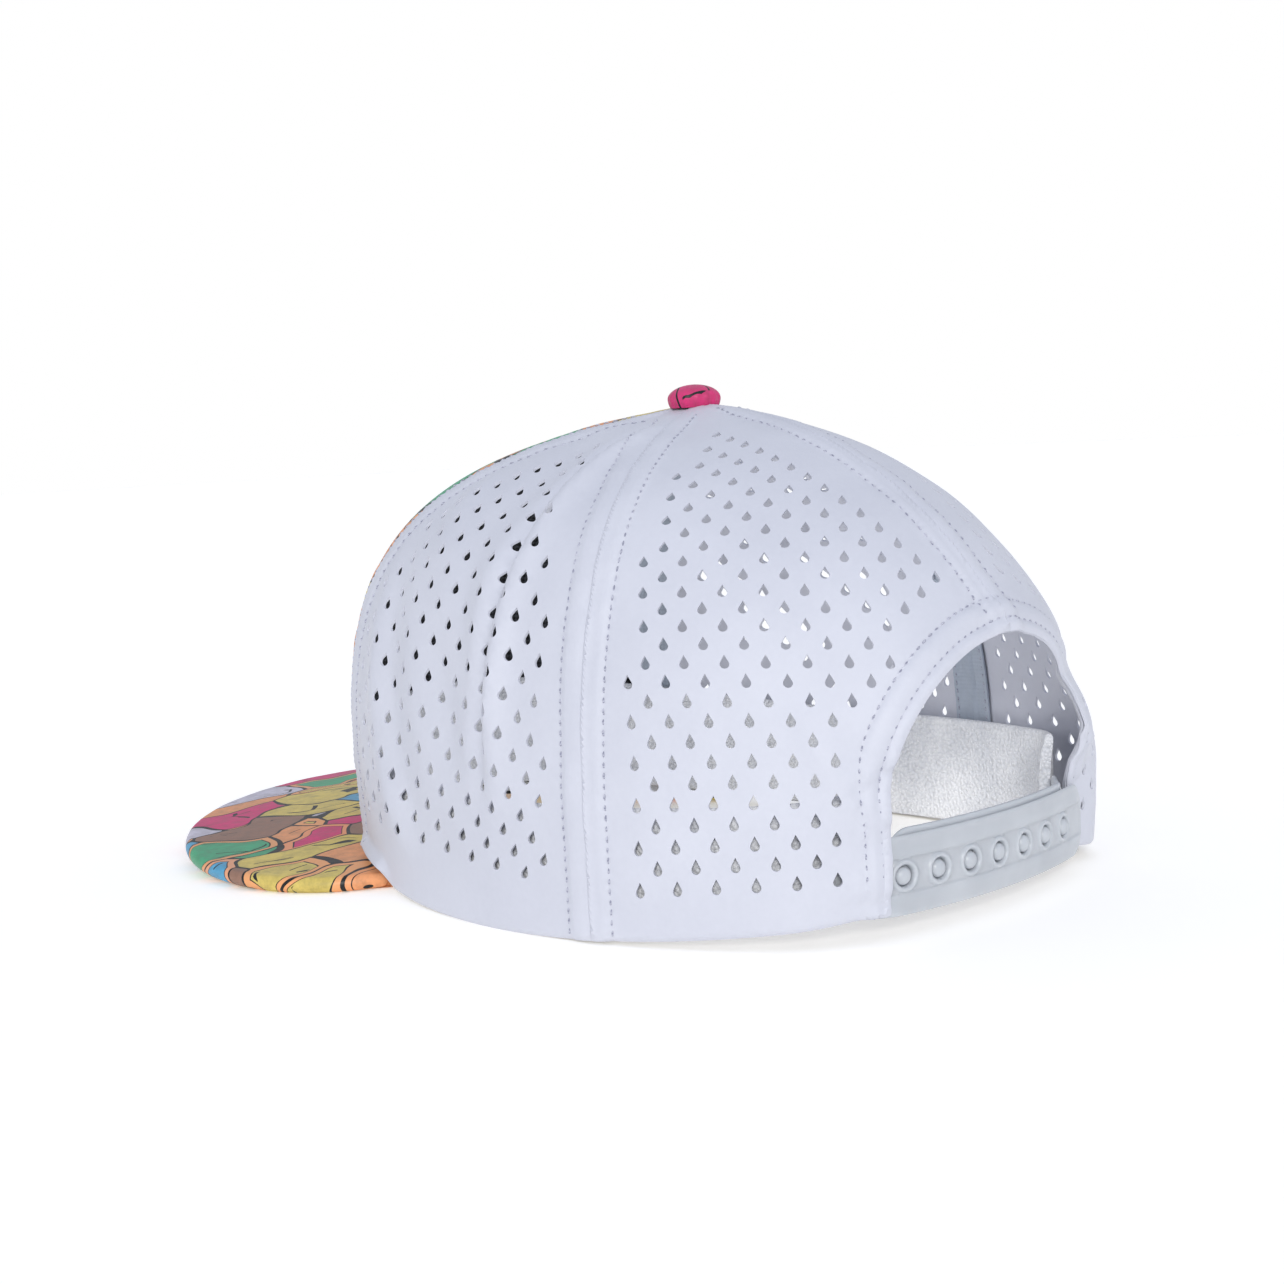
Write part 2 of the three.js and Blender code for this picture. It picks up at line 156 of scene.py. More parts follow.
def tab_pull(angle, t):
    left = angle > 0
    width = np.where(left, TAB_PULL_WIDTH["left"], TAB_PULL_WIDTH["right"])
    pull = np.where(left, TAB_PULL["left"], TAB_PULL["right"])
    behind_tab = 180 - OPENING_HALF + TAB_NARROWING - np.abs(angle)
    near = 1 - smooth(behind_tab / width, 0, 1)
    return pull * near * (1 - smooth(t, *TAB_FADE))


def surface(angle, t):
    """Points of the crown's outer face, before any relief."""
    angle, t = np.broadcast_arrays(np.asarray(angle, float), np.asarray(t, float))
    b0, b1, b2, b3 = (1 - t) ** 3, 3 * t * (1 - t) ** 2, 3 * t * t * (1 - t), t ** 3
    out = b0 + b1 * (1 + around(angle, LEAN)) + b2 * around(angle, SHOULDER)
    up = b1 * around(angle, LIFT) + b2 * (1 - around(angle, DROP)) + b3
    sine, cosine = np.sin(np.radians(angle)), np.cos(np.radians(angle))
    rim = around(angle, RIM_RISE)
    reach = np.where(cosine > 0, REACH["front"], REACH["back"])
    x = REACH["side"] * sine * out
    y = -reach * cosine * out + TOP_Y * up * up - tab_pull(angle, t)
    return np.stack([x, y, rim + (TOP_Z - rim) * up], -1)


def surface_normal(angle, t):
    step = 1e-3
    turn = surface(angle + step, t) - surface(angle - step, t)
    rise = surface(angle, t + step) - surface(angle, t - step)
    return unit(np.cross(turn, rise))


# Lengths along the crown: round it from the brim's middle, and up it from the rim.
ANGLE_STEP = 0.5
SHARE_STEPS = 250
ANGLES = np.arange(-180, 180 + ANGLE_STEP / 2, ANGLE_STEP)
SHARES = np.linspace(0, 1, SHARE_STEPS + 1)
GRID = surface(ANGLES[:, None], SHARES[None, :])


def running_length(axis):
    steps = np.linalg.norm(np.diff(GRID, axis=axis), axis=-1)
    zero = np.zeros_like(np.take(steps, [0], axis))
    return np.concatenate([zero, np.cumsum(steps, axis)], axis)


ROUND = running_length(0)
ROUND -= ROUND[len(ANGLES) // 2]
RISE = running_length(1)


def sample(table, angle, t):
    i = np.clip((np.asarray(angle, float) + 180) / ANGLE_STEP, 0, len(ANGLES) - 1.001)
    j = np.clip(np.asarray(t, float) * SHARE_STEPS, 0, SHARE_STEPS - 0.001)
    i, j = np.broadcast_arrays(i, j)
    a, b = i.astype(int), j.astype(int)
    x, y = i - a, j - b
    low = (1 - x) * table[a, b] + x * table[a + 1, b]
    high = (1 - x) * table[a, b + 1] + x * table[a + 1, b + 1]
    return low * (1 - y) + high * y


def past(angle, t, seam):
    """Distance round the crown from the seam to the place, positive towards larger angles."""
    return sample(ROUND, angle, t) - sample(ROUND, seam, t)


def turn_for(angle, t, length):
    """The turn, in degrees, that moves a place this many millimetres round the crown."""
    low = np.clip(angle - 0.5, -180, 179)
    return length / past(low + 1, t, low)


def hem(angle):
    """The height share at which the cloth clears the brim."""
    over_brim = 1 - smooth(np.abs(angle), BRIM["corner"] + 1, BRIM["corner"] + 5)
    clearance = BRIM["half"] - BRIM["drop"] + 0.3
    return clearance * over_brim / (3 * around(angle, LIFT) * TOP_Z)


def opening_row(index):
    """How far a stitch row lies outside the opening's edge at each height share."""
    tab, arch = OPENING_ROWS["tab"][index], OPENING_ROWS["arch"][index]
    return lambda t: tab + (arch - tab) * smooth(t, 0.1, 0.26)


def opening_line(width, count=121):
    """The line this far outside the opening's edge, up one tab and down the other: angles and shares."""
    side = np.linspace(0.0, ARCH_START, 12)[:-1]
    turn = np.linspace(0, np.pi, count)
    rise = np.concatenate([0 * side, np.sin(turn), 0 * side])
    t = np.concatenate([side, ARCH_START + 0 * turn, side[::-1]])
    reach = np.concatenate([np.ones(len(side)), np.cos(turn), -np.ones(len(side))])
    for _ in range(4):
        wide = width(t) if callable(width) else width + 0 * t
        t = np.where(rise > 0, ARCH_START + (ARCH_TOP - ARCH_START + wide * SHARE_PER_MM) * rise, t)
    across = reach * (OPENING_HALF + wide * DEGREES_PER_MM - narrowing(t))
    return np.where(across >= 0, 180 - across, -180 - across), t


def from_opening(angle, t):
    """Roughly how many millimetres a place is outside the opening's edge."""
    across = 180 - np.abs(angle) + narrowing(t)
    up = np.maximum(0, t - ARCH_START)
    low, high = np.full(np.shape(across), -20.0), np.full(np.shape(across), 200.0)
    for _ in range(24):
        middle = (low + high) / 2
        half = np.maximum(1e-3, OPENING_HALF + middle * DEGREES_PER_MM)
        top = np.maximum(1e-3, ARCH_TOP - ARCH_START + middle * SHARE_PER_MM)
        outside = (across / half) ** 2 + (up / top) ** 2 > 1
        low, high = np.where(outside, middle, low), np.where(outside, high, middle)
    return (low + high) / 2


# ---- relief: seams, folds and puckers of the cloth ----

def cloth_noise(points, cell, seed):
    """Smooth noise from -1 to 1 that changes over about one cell."""
    place = points / cell
    base = np.floor(place).astype(np.int64)
    ease = place - base
    ease = ease * ease * (3 - 2 * ease)
    total = np.zeros(len(points))
    for corner in np.ndindex(2, 2, 2):
        at = base + np.array(corner)
        code = (at[:, 0] * 73856093) ^ (at[:, 1] * 19349663) ^ (at[:, 2] * 83492791) ^ (seed * 15485863)
        code = ((code ^ (code >> 13)) * 1274126177) & 0x7FFFFFFF
        value = ((code ^ (code >> 16)) & 0xFFFF) / 32767.5 - 1
        total += value * np.prod(np.where(np.array(corner) == 1, ease, 1 - ease), -1)
    return total


SEAM = {"allowance": 0.4, "puff": 0.28, "tuck": 0.5, "lip": 0.6, "fold": 0.12, "pucker": 0.22, "reach": 9}


def seam_relief(away, side_of, along, ruffle):
    """Height beside a seam: raised over its allowance, tucked at the stitch row, lipped at the seam."""
    allowance = SEAM["allowance"] * (1 - smooth(away, ROW_BESIDE_SEAM - 0.2, ROW_BESIDE_SEAM + 1.4))
    puff = SEAM["puff"] * np.clip(1 - ((away - 2.8) / 2.3) ** 2, 0, 1)
    pull = 0.75 + 0.25 * np.cos(2 * np.pi * along / STITCH["pitch"])
    tuck = -SEAM["tuck"] * pull * bump(away - ROW_BESIDE_SEAM, 0.62)
    lip = SEAM["lip"] * side_of * bump(away - 0.75, 0.6)
    fold = -SEAM["fold"] * bump(away, 0.35)
    pucker = SEAM["pucker"] * ruffle * (1 - smooth(away, 5, 8))
    return allowance + puff + tuck + lip + fold + pucker


def crown_seams_relief(angle, t, points):
    along = sample(RISE, angle, t)
    ruffle = cloth_noise(points, 4.2, 3)
    fade = 1 - 0.7 * smooth(t, 0.86, 0.98)
    total = np.zeros(len(points))
    for seam in (-REAR_SEAM, -FRONT_SEAM, FRONT_SEAM, REAR_SEAM):
        distance = past(angle, t, seam) * np.sign(seam)
        rear_side = (distance > 0).astype(float)
        near = np.abs(distance) < SEAM["reach"]
        total += seam_relief(np.abs(distance), rear_side, along, ruffle) * near
    back = np.minimum(np.abs(past(angle, t, 180)), np.abs(past(angle, t, -180)))
    total += seam_relief(back, (angle > 0).astype(float), along, ruffle) * (back < SEAM["reach"])
    return total * fade


SIDE_FOLD = {"left": 89.5, "right": -84}
DRAPE = {"height": 1.8, "slant": 0.35, "width": 11, "length": 55}


def side_fold_relief(angle, t):
    """The soft folds down each side panel, where the cloth gives between the stiff front and the back."""
    window = smooth(t, 0.1, 0.34) * (1 - smooth(t, 0.84, 0.95))
    left = past(angle, t, SIDE_FOLD["left"])
    right = -past(angle, t, SIDE_FOLD["right"])
    fold = -2.0 * bump(left, 2.6) + 2.0 * bump(left - 4.8, 3.4) - 1.5 * bump(left + 12, 8)
    softer = -0.7 * bump(right, 4) + 0.8 * bump(right - 7, 5)
    rise = sample(RISE, angle, t)
    slanted = np.stack([(left + DRAPE["slant"] * rise) / DRAPE["width"], rise / DRAPE["length"], 0 * t], -1)
    turn = np.abs(angle)
    drape = DRAPE["height"] * cloth_noise(slanted, 1.0, 17)
    drape = drape * smooth(turn, FRONT_SEAM + 4, 62) * (1 - smooth(turn, 84, 104))
    return window * np.where(angle > 0, fold, softer) * (turn > FRONT_SEAM) + drape * smooth(t, 0.04, 0.14)


def opening_relief(angle, t, points):
    """The bound edge of the opening, and the puckers where the strap is sewn into the tabs."""
    out = from_opening(angle, t)
    inner, outer = opening_row(0)(t), opening_row(1)(t)
    band = 0.35 * (1 - smooth(out - outer, -0.3, 1.3))
    puff = 0.3 * np.clip(1 - (2 * (out - (inner + outer) / 2) / (outer - inner)) ** 2, 0, 1)
    tucks = -0.5 * (bump(out - inner, 0.55) + bump(out - outer, 0.6))
    roll = -0.75 * (1 - np.clip(out / 1.3, 0, 1)) ** 2
    low = 1 - smooth(t, 0.18, 0.24)
    pucker = cloth_noise(points * np.array([0.35, 0.35, 1.0]), 3.0, 11) * (0.2 + 1.05 * low)
    pucker *= 1 - smooth(out, 5, 11)
    rise = sample(RISE, angle, t)
    notch = -1.4 * (angle > 0) * bump(rise - 30.5, 1.2) * (1 - smooth(out, 1.5, 5.5))
    pull = 1.1 * bump(out - 12 - 0.5 * (rise - 30), 3.5) * bump(t - 0.22, 0.07)
    near = (np.abs(angle) > 112) & (out < 45)
    return (band + puff + tucks + roll + pucker + notch + pull + right_tab_relief(angle, t, out)) * near


def right_tab_relief(angle, t, out):
    """The right tab stands out behind the strap's free end, with a kink and a waist above the strap."""
    belly = 7.0 * bump(angle + 134, 10) * (1 - smooth(t, 0.13, 0.3))
    kink = 2.6 * bump(t - 0.175, 0.05) * (1 - smooth(out, 4, 20))
    waist = -3.0 * bump(t - 0.29, 0.05) * (1 - smooth(out, 8, 24))
    return (angle < -110) * (belly + kink + waist)


def hem_relief(angle, t):
    """The rounded bottom edge, which rolls out over the brim's corner."""
    height = sample(RISE, angle, t) - sample(RISE, angle, hem(angle))
    edge = -0.5 * (1 - np.clip(height / 1.1, 0, 1)) ** 2
    over_corner = smooth(np.abs(angle), 43, 49) * (1 - smooth(np.abs(angle), 60, 64.5))
    roll = 2.1 * bump(height - 2.2, 1.5) * over_corner
    return edge + roll


def relief(angle, t):
    """Height of the cloth over the smooth crown, in millimetres."""
    angle, t = np.broadcast_arrays(np.asarray(angle, float), np.asarray(t, float))
    shape = angle.shape
    angle, t = angle.ravel(), t.ravel()
    points = surface(angle, t)
    soft = smooth(np.abs(angle), FRONT_SEAM - 2, FRONT_SEAM + 8)
    waves = 0.42 * cloth_noise(points * np.array([1, 1, 0.55]), 21, 5) + 0.16 * cloth_noise(points, 8, 7)
    total = waves * (0.2 + 0.8 * soft) * smooth(t, -0.02, 0.1)
    total += crown_seams_relief(angle, t, points)
    total += side_fold_relief(angle, t)
    total += opening_relief(angle, t, points)
    total += hem_relief(angle, t)
    return total.reshape(shape)


def crown_point(angle, t, depth=0.0):
    """Points at a depth below the cloth's outer face."""
    height = relief(angle, t) - depth
    return surface(angle, t) + surface_normal(angle, t) * height[..., None]


# ---- mesh helpers ----

def make_piece(name, points, faces, material, body="crown", sharp=40, flat_places=None):
    mesh = bpy.data.meshes.new(name)
    mesh.from_pydata(metres(points).tolist(), [], faces)
    mesh.update()
    mesh.shade_smooth()
    mesh.set_sharp_from_angle(angle=math.radians(sharp))
    if flat_places is not None:
        layer = mesh.uv_layers.new(name="flat_cloth")
        corners = np.zeros(len(mesh.loops), np.int32)
        mesh.loops.foreach_get("vertex_index", corners)
        layer.data.foreach_set("uv", (np.asarray(flat_places)[corners] / 100).astype(np.float32).ravel())
    mesh.materials.append(material)
    piece = bpy.data.objects.new(name, mesh)
    bpy.context.scene.collection.objects.link(piece)
    if body:
        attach(piece, body)
    return piece


def edge_loops(faces):
    """The directed edges that only one face uses."""
    used = set()
    for face in faces:
        for a, b in zip(face, [*face[1:], face[0]]):
            used.add((a, b))
    return [(a, b) for a, b in used if (b, a) not in used]


def thick_faces(faces, count):
    """Faces of a closed shell whose inner points follow its count outer ones."""
    back = [[i + count for i in reversed(face)] for face in faces]
    walls = [[b, a, a + count, b + count] for a, b in edge_loops(faces)]
    return [*faces, *back, *walls]


def grid_faces(rows, columns, wrap=False):
    span = columns if wrap else columns - 1
    faces = []
    for r in range(rows - 1):
        for c in range(span):
            d = (c + 1) % columns
            faces.append([r * columns + c, r * columns + d, (r + 1) * columns + d, (r + 1) * columns + c])
    return faces


def cloth_piece(name, node, material, outer, inner, faces, flat=None):
    """A closed shell between a cloth's two faces, standing for a CAD node."""
    outer, inner = outer.reshape(-1, 3), inner.reshape(-1, 3)
    if flat is not None:
        flat = np.concatenate([flat.reshape(-1, 2)] * 2)
    shell = thick_faces(faces, len(outer))
    piece = make_piece(name, np.concatenate([outer, inner]), shell, material, flat_places=flat)
    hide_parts(node)
    return piece


def declare_strip(width):
    """Turns the strip's width into metres; nothing is done with it."""
    width = width / 1000


def crown_strip(name, node, material, half, middle, t, columns, thickness, width):
    """A strip against the crown's inside, half(t) degrees to each side of its middle angle."""
    share = np.linspace(0, 1, columns)
    start = middle - half(t)
    end = middle + half(t)
    angle = start[:, None] + (end - start)[:, None] * share[None, :]
    height = t[:, None] + hem(angle) * (1 - t[:, None])
    top = crown_point(angle, height, TAPE_DEPTH)
    bottom = crown_point(angle, height, TAPE_DEPTH + thickness)
    faces = grid_faces(len(t), columns)
    flat = np.stack([sample(ROUND, angle, height), sample(RISE, angle, height)], -1)
    piece = cloth_piece(name, node, material, top, bottom, faces, flat)
    declare_strip(width)


# ---- materials ----

class Nodes:
    """A material's node tree, with a short way to add nodes and link them."""

    def __init__(self, name):
        self.material = bpy.data.materials.new(name)
        self.material.use_nodes = True
        self.tree = self.material.node_tree
        self.shader = self.tree.nodes["Principled BSDF"]

    def add(self, kind, settings=None, **inputs):
        node = self.tree.nodes.new("ShaderNode" + kind)
        for key, value in (settings or {}).items():
            setattr(node, key, value)
        for key, value in inputs.items():
            self.plug(node, key.replace("_", " "), value)
        return node

    def plug(self, node, key, value):
        socket = node.inputs[int(key)] if key.isdigit() else node.inputs[key]
        if isinstance(value, bpy.types.NodeSocket):
            self.tree.links.new(value, socket)
        else:
            socket.default_value = value

    def math(self, operation, a, b=0.0, clamp=False):
        node = self.tree.nodes.new("ShaderNodeMath")
        node.operation = operation
        node.use_clamp = clamp
        self.plug(node, "0", a)
        self.plug(node, "1", b)
        return node.outputs[0]

    def vector(self, operation, a, b):
        return self.add("VectorMath", {"operation": operation}, **{"0": a, "1": b}).outputs[0]

    def edges(self, vector, scale, randomness):
        """Distance to the nearest border between cells."""
        node = self.add("TexVoronoi", {"feature": "DISTANCE_TO_EDGE"}, Vector=vector, Scale=scale,
                        Randomness=randomness)
        return node.outputs["Distance"]

    def plus(self, a, b):
        return self.math("ADD", a, b)

    def times(self, a, b):
        return self.math("MULTIPLY", a, b)

    def minus(self, a, b):
        return self.math("SUBTRACT", a, b)

    def over(self, a, b):
        return self.math("GREATER_THAN", a, b)

    def under(self, a, b):
        return self.math("LESS_THAN", a, b)

    def ramp(self, factor, stops, constant=False):
        node = self.tree.nodes.new("ShaderNodeValToRGB")
        node.color_ramp.interpolation = "CONSTANT" if constant else "LINEAR"
        elements = node.color_ramp.elements
        while len(elements) < len(stops):
            elements.new(0.5)
        for element, (position, color) in zip(elements, stops):
            element.position = position
            element.color = (*color, 1)
        self.plug(node, "Fac", factor)
        return node.outputs["Color"]

    def mix(self, factor, a, b):
        node = self.tree.nodes.new("ShaderNodeMix")
        node.data_type = "RGBA"
        self.plug(node, "0", factor)
        self.plug(node, "6", a)
        self.plug(node, "7", b)
        return node.outputs[2]

    def surface(self, **inputs):
        for key, value in inputs.items():
            self.plug(self.shader, key.replace("_", " "), value)
        return self.material

    def place(self):
        return self.add("TexCoord").outputs["Object"]

    def flat_place(self):
        return self.add("UVMap", {"uv_map": "flat_cloth"}).outputs["UV"]

    def noise(self, vector, scale, detail=2.0, roughness=0.5):
        node = self.add("TexNoise", Vector=vector, Scale=scale, Detail=detail, Roughness=roughness)
        return node.outputs["Fac"]

    def relief(self, height, strength, distance):
        return self.add("Bump", Height=height, Strength=strength, Distance=distance).outputs["Normal"]


def weave_height(nodes, threads_per_metre):
    """A plain weave on the flat cloth: ribs both ways."""
    flat = nodes.flat_place()
    scale = threads_per_metre * 0.1 / 2
    ribs = [nodes.add("TexWave", {"bands_direction": way, "wave_profile": "SIN"}, Vector=flat, Scale=scale)
            for way in ("X", "Y")]
    return nodes.plus(ribs[0].outputs["Fac"], ribs[1].outputs["Fac"])


def cloth_material(name, light, dark, roughness, sheen, threads=3200, weave=0.1, mottle=0.25):
    nodes = Nodes(name)
    place = nodes.place()
    broad = nodes.noise(place, 38.0, 3.0)
    fine = nodes.noise(place, 700.0, 3.0, 0.6)
    shade = nodes.plus(nodes.times(broad, 0.7), nodes.times(fine, 0.3))
    color = nodes.ramp(shade, [(0.32, dark), (0.66, light)])
    height = nodes.plus(nodes.times(weave_height(nodes, threads), weave),
                        nodes.times(nodes.noise(place, 420.0, 4.0, 0.65), mottle))
    normal = nodes.relief(height, 0.35, 0.0003)
    rough = nodes.plus(nodes.times(fine, 0.16), roughness - 0.08)
    return nodes.surface(Base_Color=color, Roughness=rough, Normal=normal, Sheen_Weight=sheen,
                         Sheen_Roughness=0.4)


PALETTE = {
    "yellow": (0.66, 0.52, 0.14),
    "green": (0.06, 0.37, 0.19),
    "pink": (0.62, 0.035, 0.17),
    "peach": (0.76, 0.33, 0.15),
    "brown": (0.29, 0.16, 0.115),
    "lavender": (0.58, 0.55, 0.65),
    "blue": (0.09, 0.36, 0.58),
}


def print_material(name, order, cells, turn, offset=(0.0, 0.0, 0.0)):
    """An abstract print of wavy leaf-like patches with uneven black outlines and thin inner strokes."""
    nodes = Nodes(name)
    place = nodes.place()
    warp = nodes.add("TexNoise", Vector=place, Scale=42.0, Detail=1.5, Roughness=0.45)
    centred = nodes.vector("SUBTRACT", warp.outputs["Color"], (0.5, 0.5, 0.5))
    pushed = nodes.add("VectorMath", {"operation": "SCALE"}, **{"0": centred, "Scale": 0.021})
    bent = nodes.vector("ADD", place, pushed.outputs[0])
    aligned = nodes.add("Mapping", Vector=bent, Location=offset, Rotation=(0.0, 0.0, turn),
                        Scale=(1.0, 2.1, 1.5))
    vector = aligned.outputs[0]
    patch = nodes.add("TexVoronoi", {"feature": "F1"}, Vector=vector, Scale=cells, Randomness=0.9)
    border = nodes.edges(vector, cells, 0.9)
    pick = nodes.add("SeparateColor", Color=patch.outputs["Color"]).outputs[0]
    step = 1 / len(order)
    fill = nodes.ramp(pick, [(i * step, PALETTE[key]) for i, key in enumerate(order)], constant=True)
    grain = nodes.noise(place, 260.0, 4.0, 0.7)
    mottled = nodes.mix(nodes.math("MULTIPLY", nodes.minus(0.62, grain), 1.2, clamp=True),
                        fill, (0.05, 0.045, 0.03, 1.0))
    second = nodes.add("SeparateColor", Color=patch.outputs["Color"]).outputs[1]
    bordered = nodes.over(second, 0.72)
    band = nodes.times(nodes.under(border, 0.12), bordered)
    mottled = nodes.mix(nodes.times(band, 0.9), mottled, (*PALETTE["peach"], 1.0))
    rim = nodes.math("COMPARE", border, 0.12)
    rim.node.inputs[2].default_value = 0.009
    rim = nodes.times(rim, bordered)
    width = nodes.times(nodes.noise(place, 90.0, 1.0), 0.052)
    outline = nodes.math("MAXIMUM", nodes.under(border, width), rim)
    stretched = nodes.add("Mapping", Vector=vector, Scale=(1.3, 2.4, 1.0), Location=(0.31, 0.17, 0.0))
    strokes = nodes.edges(stretched.outputs[0], cells * 0.8, 1.0)
    thin = nodes.under(strokes, 0.022)
    inner = nodes.over(border, 0.16)
    some = nodes.over(nodes.noise(place, 75.0, 1.0), 0.5)
    drawn = nodes.times(nodes.times(thin, inner), some)
    ink = nodes.math("MAXIMUM", outline, drawn)
    color = nodes.mix(ink, mottled, (0.012, 0.013, 0.014, 1.0))
    height = nodes.plus(nodes.times(nodes.noise(place, 180.0, 4.0, 0.6), 0.8),
                        nodes.times(nodes.noise(place, 900.0, 2.0), 0.2))
    normal = nodes.relief(height, 0.3, 0.0006)
    rough = nodes.plus(nodes.times(grain, 0.2), 0.34)
    return nodes.surface(Base_Color=color, Roughness=rough, Normal=normal, Specular_IOR_Level=0.3)


def terry_material():
    nodes = Nodes("terry_pile")
    place = nodes.place()
    loops = nodes.add("TexVoronoi", Vector=place, Scale=1100.0).outputs["Distance"]
    broad = nodes.noise(place, 60.0, 3.0)
    # The colour darkens between the loops, where the pile's relief is lowest: painted shade.
    color = nodes.ramp(nodes.minus(broad, nodes.times(loops, 0.35)),
                       [(0.1, (0.62, 0.64, 0.69)), (0.55, (0.86, 0.87, 0.9))])
    normal = nodes.relief(nodes.minus(1.0, loops), 0.8, 0.0007)
    return nodes.surface(Base_Color=color, Roughness=0.95, Normal=normal, Sheen_Weight=0.5,
                         Sheen_Roughness=0.5)


def buckram_material():
    """Stiff open weave: threads both ways with dark gaps between them."""
    nodes = Nodes("charcoal_buckram")
    weave = weave_height(nodes, 420)
    color = nodes.ramp(nodes.times(weave, 0.5), [(0.2, (0.006, 0.007, 0.009)), (0.8, (0.05, 0.055, 0.065))])
    normal = nodes.relief(weave, 0.8, 0.0005)
    return nodes.surface(Base_Color=color, Roughness=0.85, Normal=normal)


def strap_material():
    nodes = Nodes("milky_plastic")
    place = nodes.place()
    cloud = nodes.noise(place, 90.0, 2.0)
    color = nodes.ramp(cloud, [(0.3, (0.42, 0.445, 0.485)), (0.7, (0.48, 0.505, 0.545))])
    scuff = nodes.noise(place, 1400.0, 3.0, 0.6)
    rough = nodes.plus(nodes.times(scuff, 0.2), 0.26)
    normal = nodes.relief(scuff, 0.12, 0.0002)
    return nodes.surface(Base_Color=color, Roughness=rough, Normal=normal, IOR=1.47, Coat_Weight=0.15,
                         Coat_Roughness=0.25, Subsurface_Weight=0.4, Subsurface_Radius=(1.0, 1.1, 1.1),
                         Subsurface_Scale=0.003)


def thread_material():
    nodes = Nodes("white_thread_painted_shade")
    wave = nodes.add("TexWave", {"bands_direction": "DIAGONAL"}, Vector=nodes.place(), Scale=900.0,
                     Distortion=1.0)
    twist = wave.outputs["Fac"]
    # The white thread is coloured mid grey-violet, darker than the cloth: painted shade for the stitches'
    # dark look. Its colour also darkens in the twist's grooves, where the relief is lowest: painted shade.
    color = nodes.ramp(twist, [(0.1, (0.24, 0.25, 0.33)), (0.8, (0.45, 0.46, 0.55))])
    normal = nodes.relief(twist, 0.4, 0.0002)
    return nodes.surface(Base_Color=color, Roughness=0.5, Normal=normal, Sheen_Weight=0.3)


def board_material():
    nodes = Nodes("brim_board_plastic")
    cloud = nodes.noise(nodes.place(), 120.0, 4.0)
    color = nodes.ramp(cloud, [(0.3, (0.44, 0.45, 0.47)), (0.7, (0.52, 0.53, 0.55))])
    return nodes.surface(Base_Color=color, Roughness=0.5, Normal=nodes.relief(cloud, 0.2, 0.0004))


def steel_material():
    nodes = Nodes("pressed_steel")
    place = nodes.place()
    brushed = nodes.add("Mapping", Vector=place, Scale=(1.0, 1.0, 14.0)).outputs[0]
    lines = nodes.noise(brushed, 500.0, 3.0)
    color = nodes.ramp(lines, [(0.3, (0.46, 0.47, 0.49)), (0.7, (0.6, 0.61, 0.63))])
    rough = nodes.plus(nodes.times(lines, 0.2), 0.22)
    normal = nodes.relief(lines, 0.15, 0.0002)
    return nodes.surface(Base_Color=color, Metallic=1.0, Roughness=rough, Normal=normal)


def floor_material():
    nodes = Nodes("pale_floor")
    cloud = nodes.noise(nodes.place(), 3.0, 2.0)
    color = nodes.ramp(cloud, [(0.2, (0.91, 0.91, 0.915)), (0.8, (0.93, 0.93, 0.935))])
    return nodes.surface(Base_Color=color, Roughness=0.9, Specular_IOR_Level=0.1, Emission_Strength=0.25,
                         Emission_Color=(1.0, 0.94, 0.8, 1.0))


WHITE_CLOTH = cloth_material("white_perforated_cloth", (0.57, 0.585, 0.66), (0.525, 0.54, 0.615), 0.5, 0.12)
BINDING_CLOTH = cloth_material("white_binding_cloth", (0.59, 0.605, 0.675), (0.54, 0.555, 0.625), 0.55, 0.15)
LINING = cloth_material("lining_tape_twill", (0.42, 0.47, 0.55), (0.34, 0.385, 0.46), 0.75, 0.1, threads=600,
                        weave=0.5)
BRIM_COLORS = "yellow green peach pink yellow brown green blue peach lavender".split()
FRONT_COLORS = "yellow peach green pink brown yellow green blue lavender peach".split()
BUTTON_COLORS = "peach pink pink pink pink".split()
BRIM_PRINT = print_material("brim_print", BRIM_COLORS, 38.0, math.radians(38))
FRONT_PRINT = print_material("front_print", FRONT_COLORS, 36.0, math.radians(20), (0.05, 0.02, 0.01))
BUTTON_PRINT = print_material("button_print", BUTTON_COLORS, 60.0, math.radians(70), (0.11, 0.05, 0.02))
TERRY = terry_material()
BUCKRAM = buckram_material()
STRAP_PLASTIC = strap_material()
THREAD = thread_material()


# ---- flat cutting of the panels ----

def is_inside(points, outline):
    inside = np.zeros(len(points), bool)
    for (x0, y0), (x1, y1) in zip(outline, np.roll(outline, -1, 0)):
        crosses = (y0 > points[:, 1]) != (y1 > points[:, 1])
        where = (x1 - x0) * (points[:, 1] - y0) / (y1 - y0 + 1e-12) + x0
        inside ^= crosses & (points[:, 0] < where)
    return inside


def distance_to(points, outline):
    nearest = np.full(len(points), 1e9)
    for a, b in zip(outline, np.roll(outline, -1, 0)):
        line = b - a
        share = np.clip(((points - a) @ line) / max(line @ line, 1e-12), 0, 1)
        nearest = np.minimum(nearest, np.linalg.norm(points - a - share[:, None] * line, axis=1))
    return nearest


def evenly(points, spacing, closed=True):
    """The line through the points, resampled at about the spacing."""
    if closed:
        points = np.concatenate([points, points[:1]])
    length = running(points)
    count = max(3, int(round(length[-1] / spacing)))
    places = np.linspace(0, length[-1], count + 1)[: count if closed else count + 1]
    return np.stack([np.interp(places, length, points[:, k]) for k in range(points.shape[1])], -1)


def inward_of(outline):
    """Unit directions into an outline that runs anticlockwise."""
    ahead = unit(np.roll(outline, -1, 0) - np.roll(outline, 1, 0))
    return np.stack([-ahead[:, 1], ahead[:, 0]], -1)


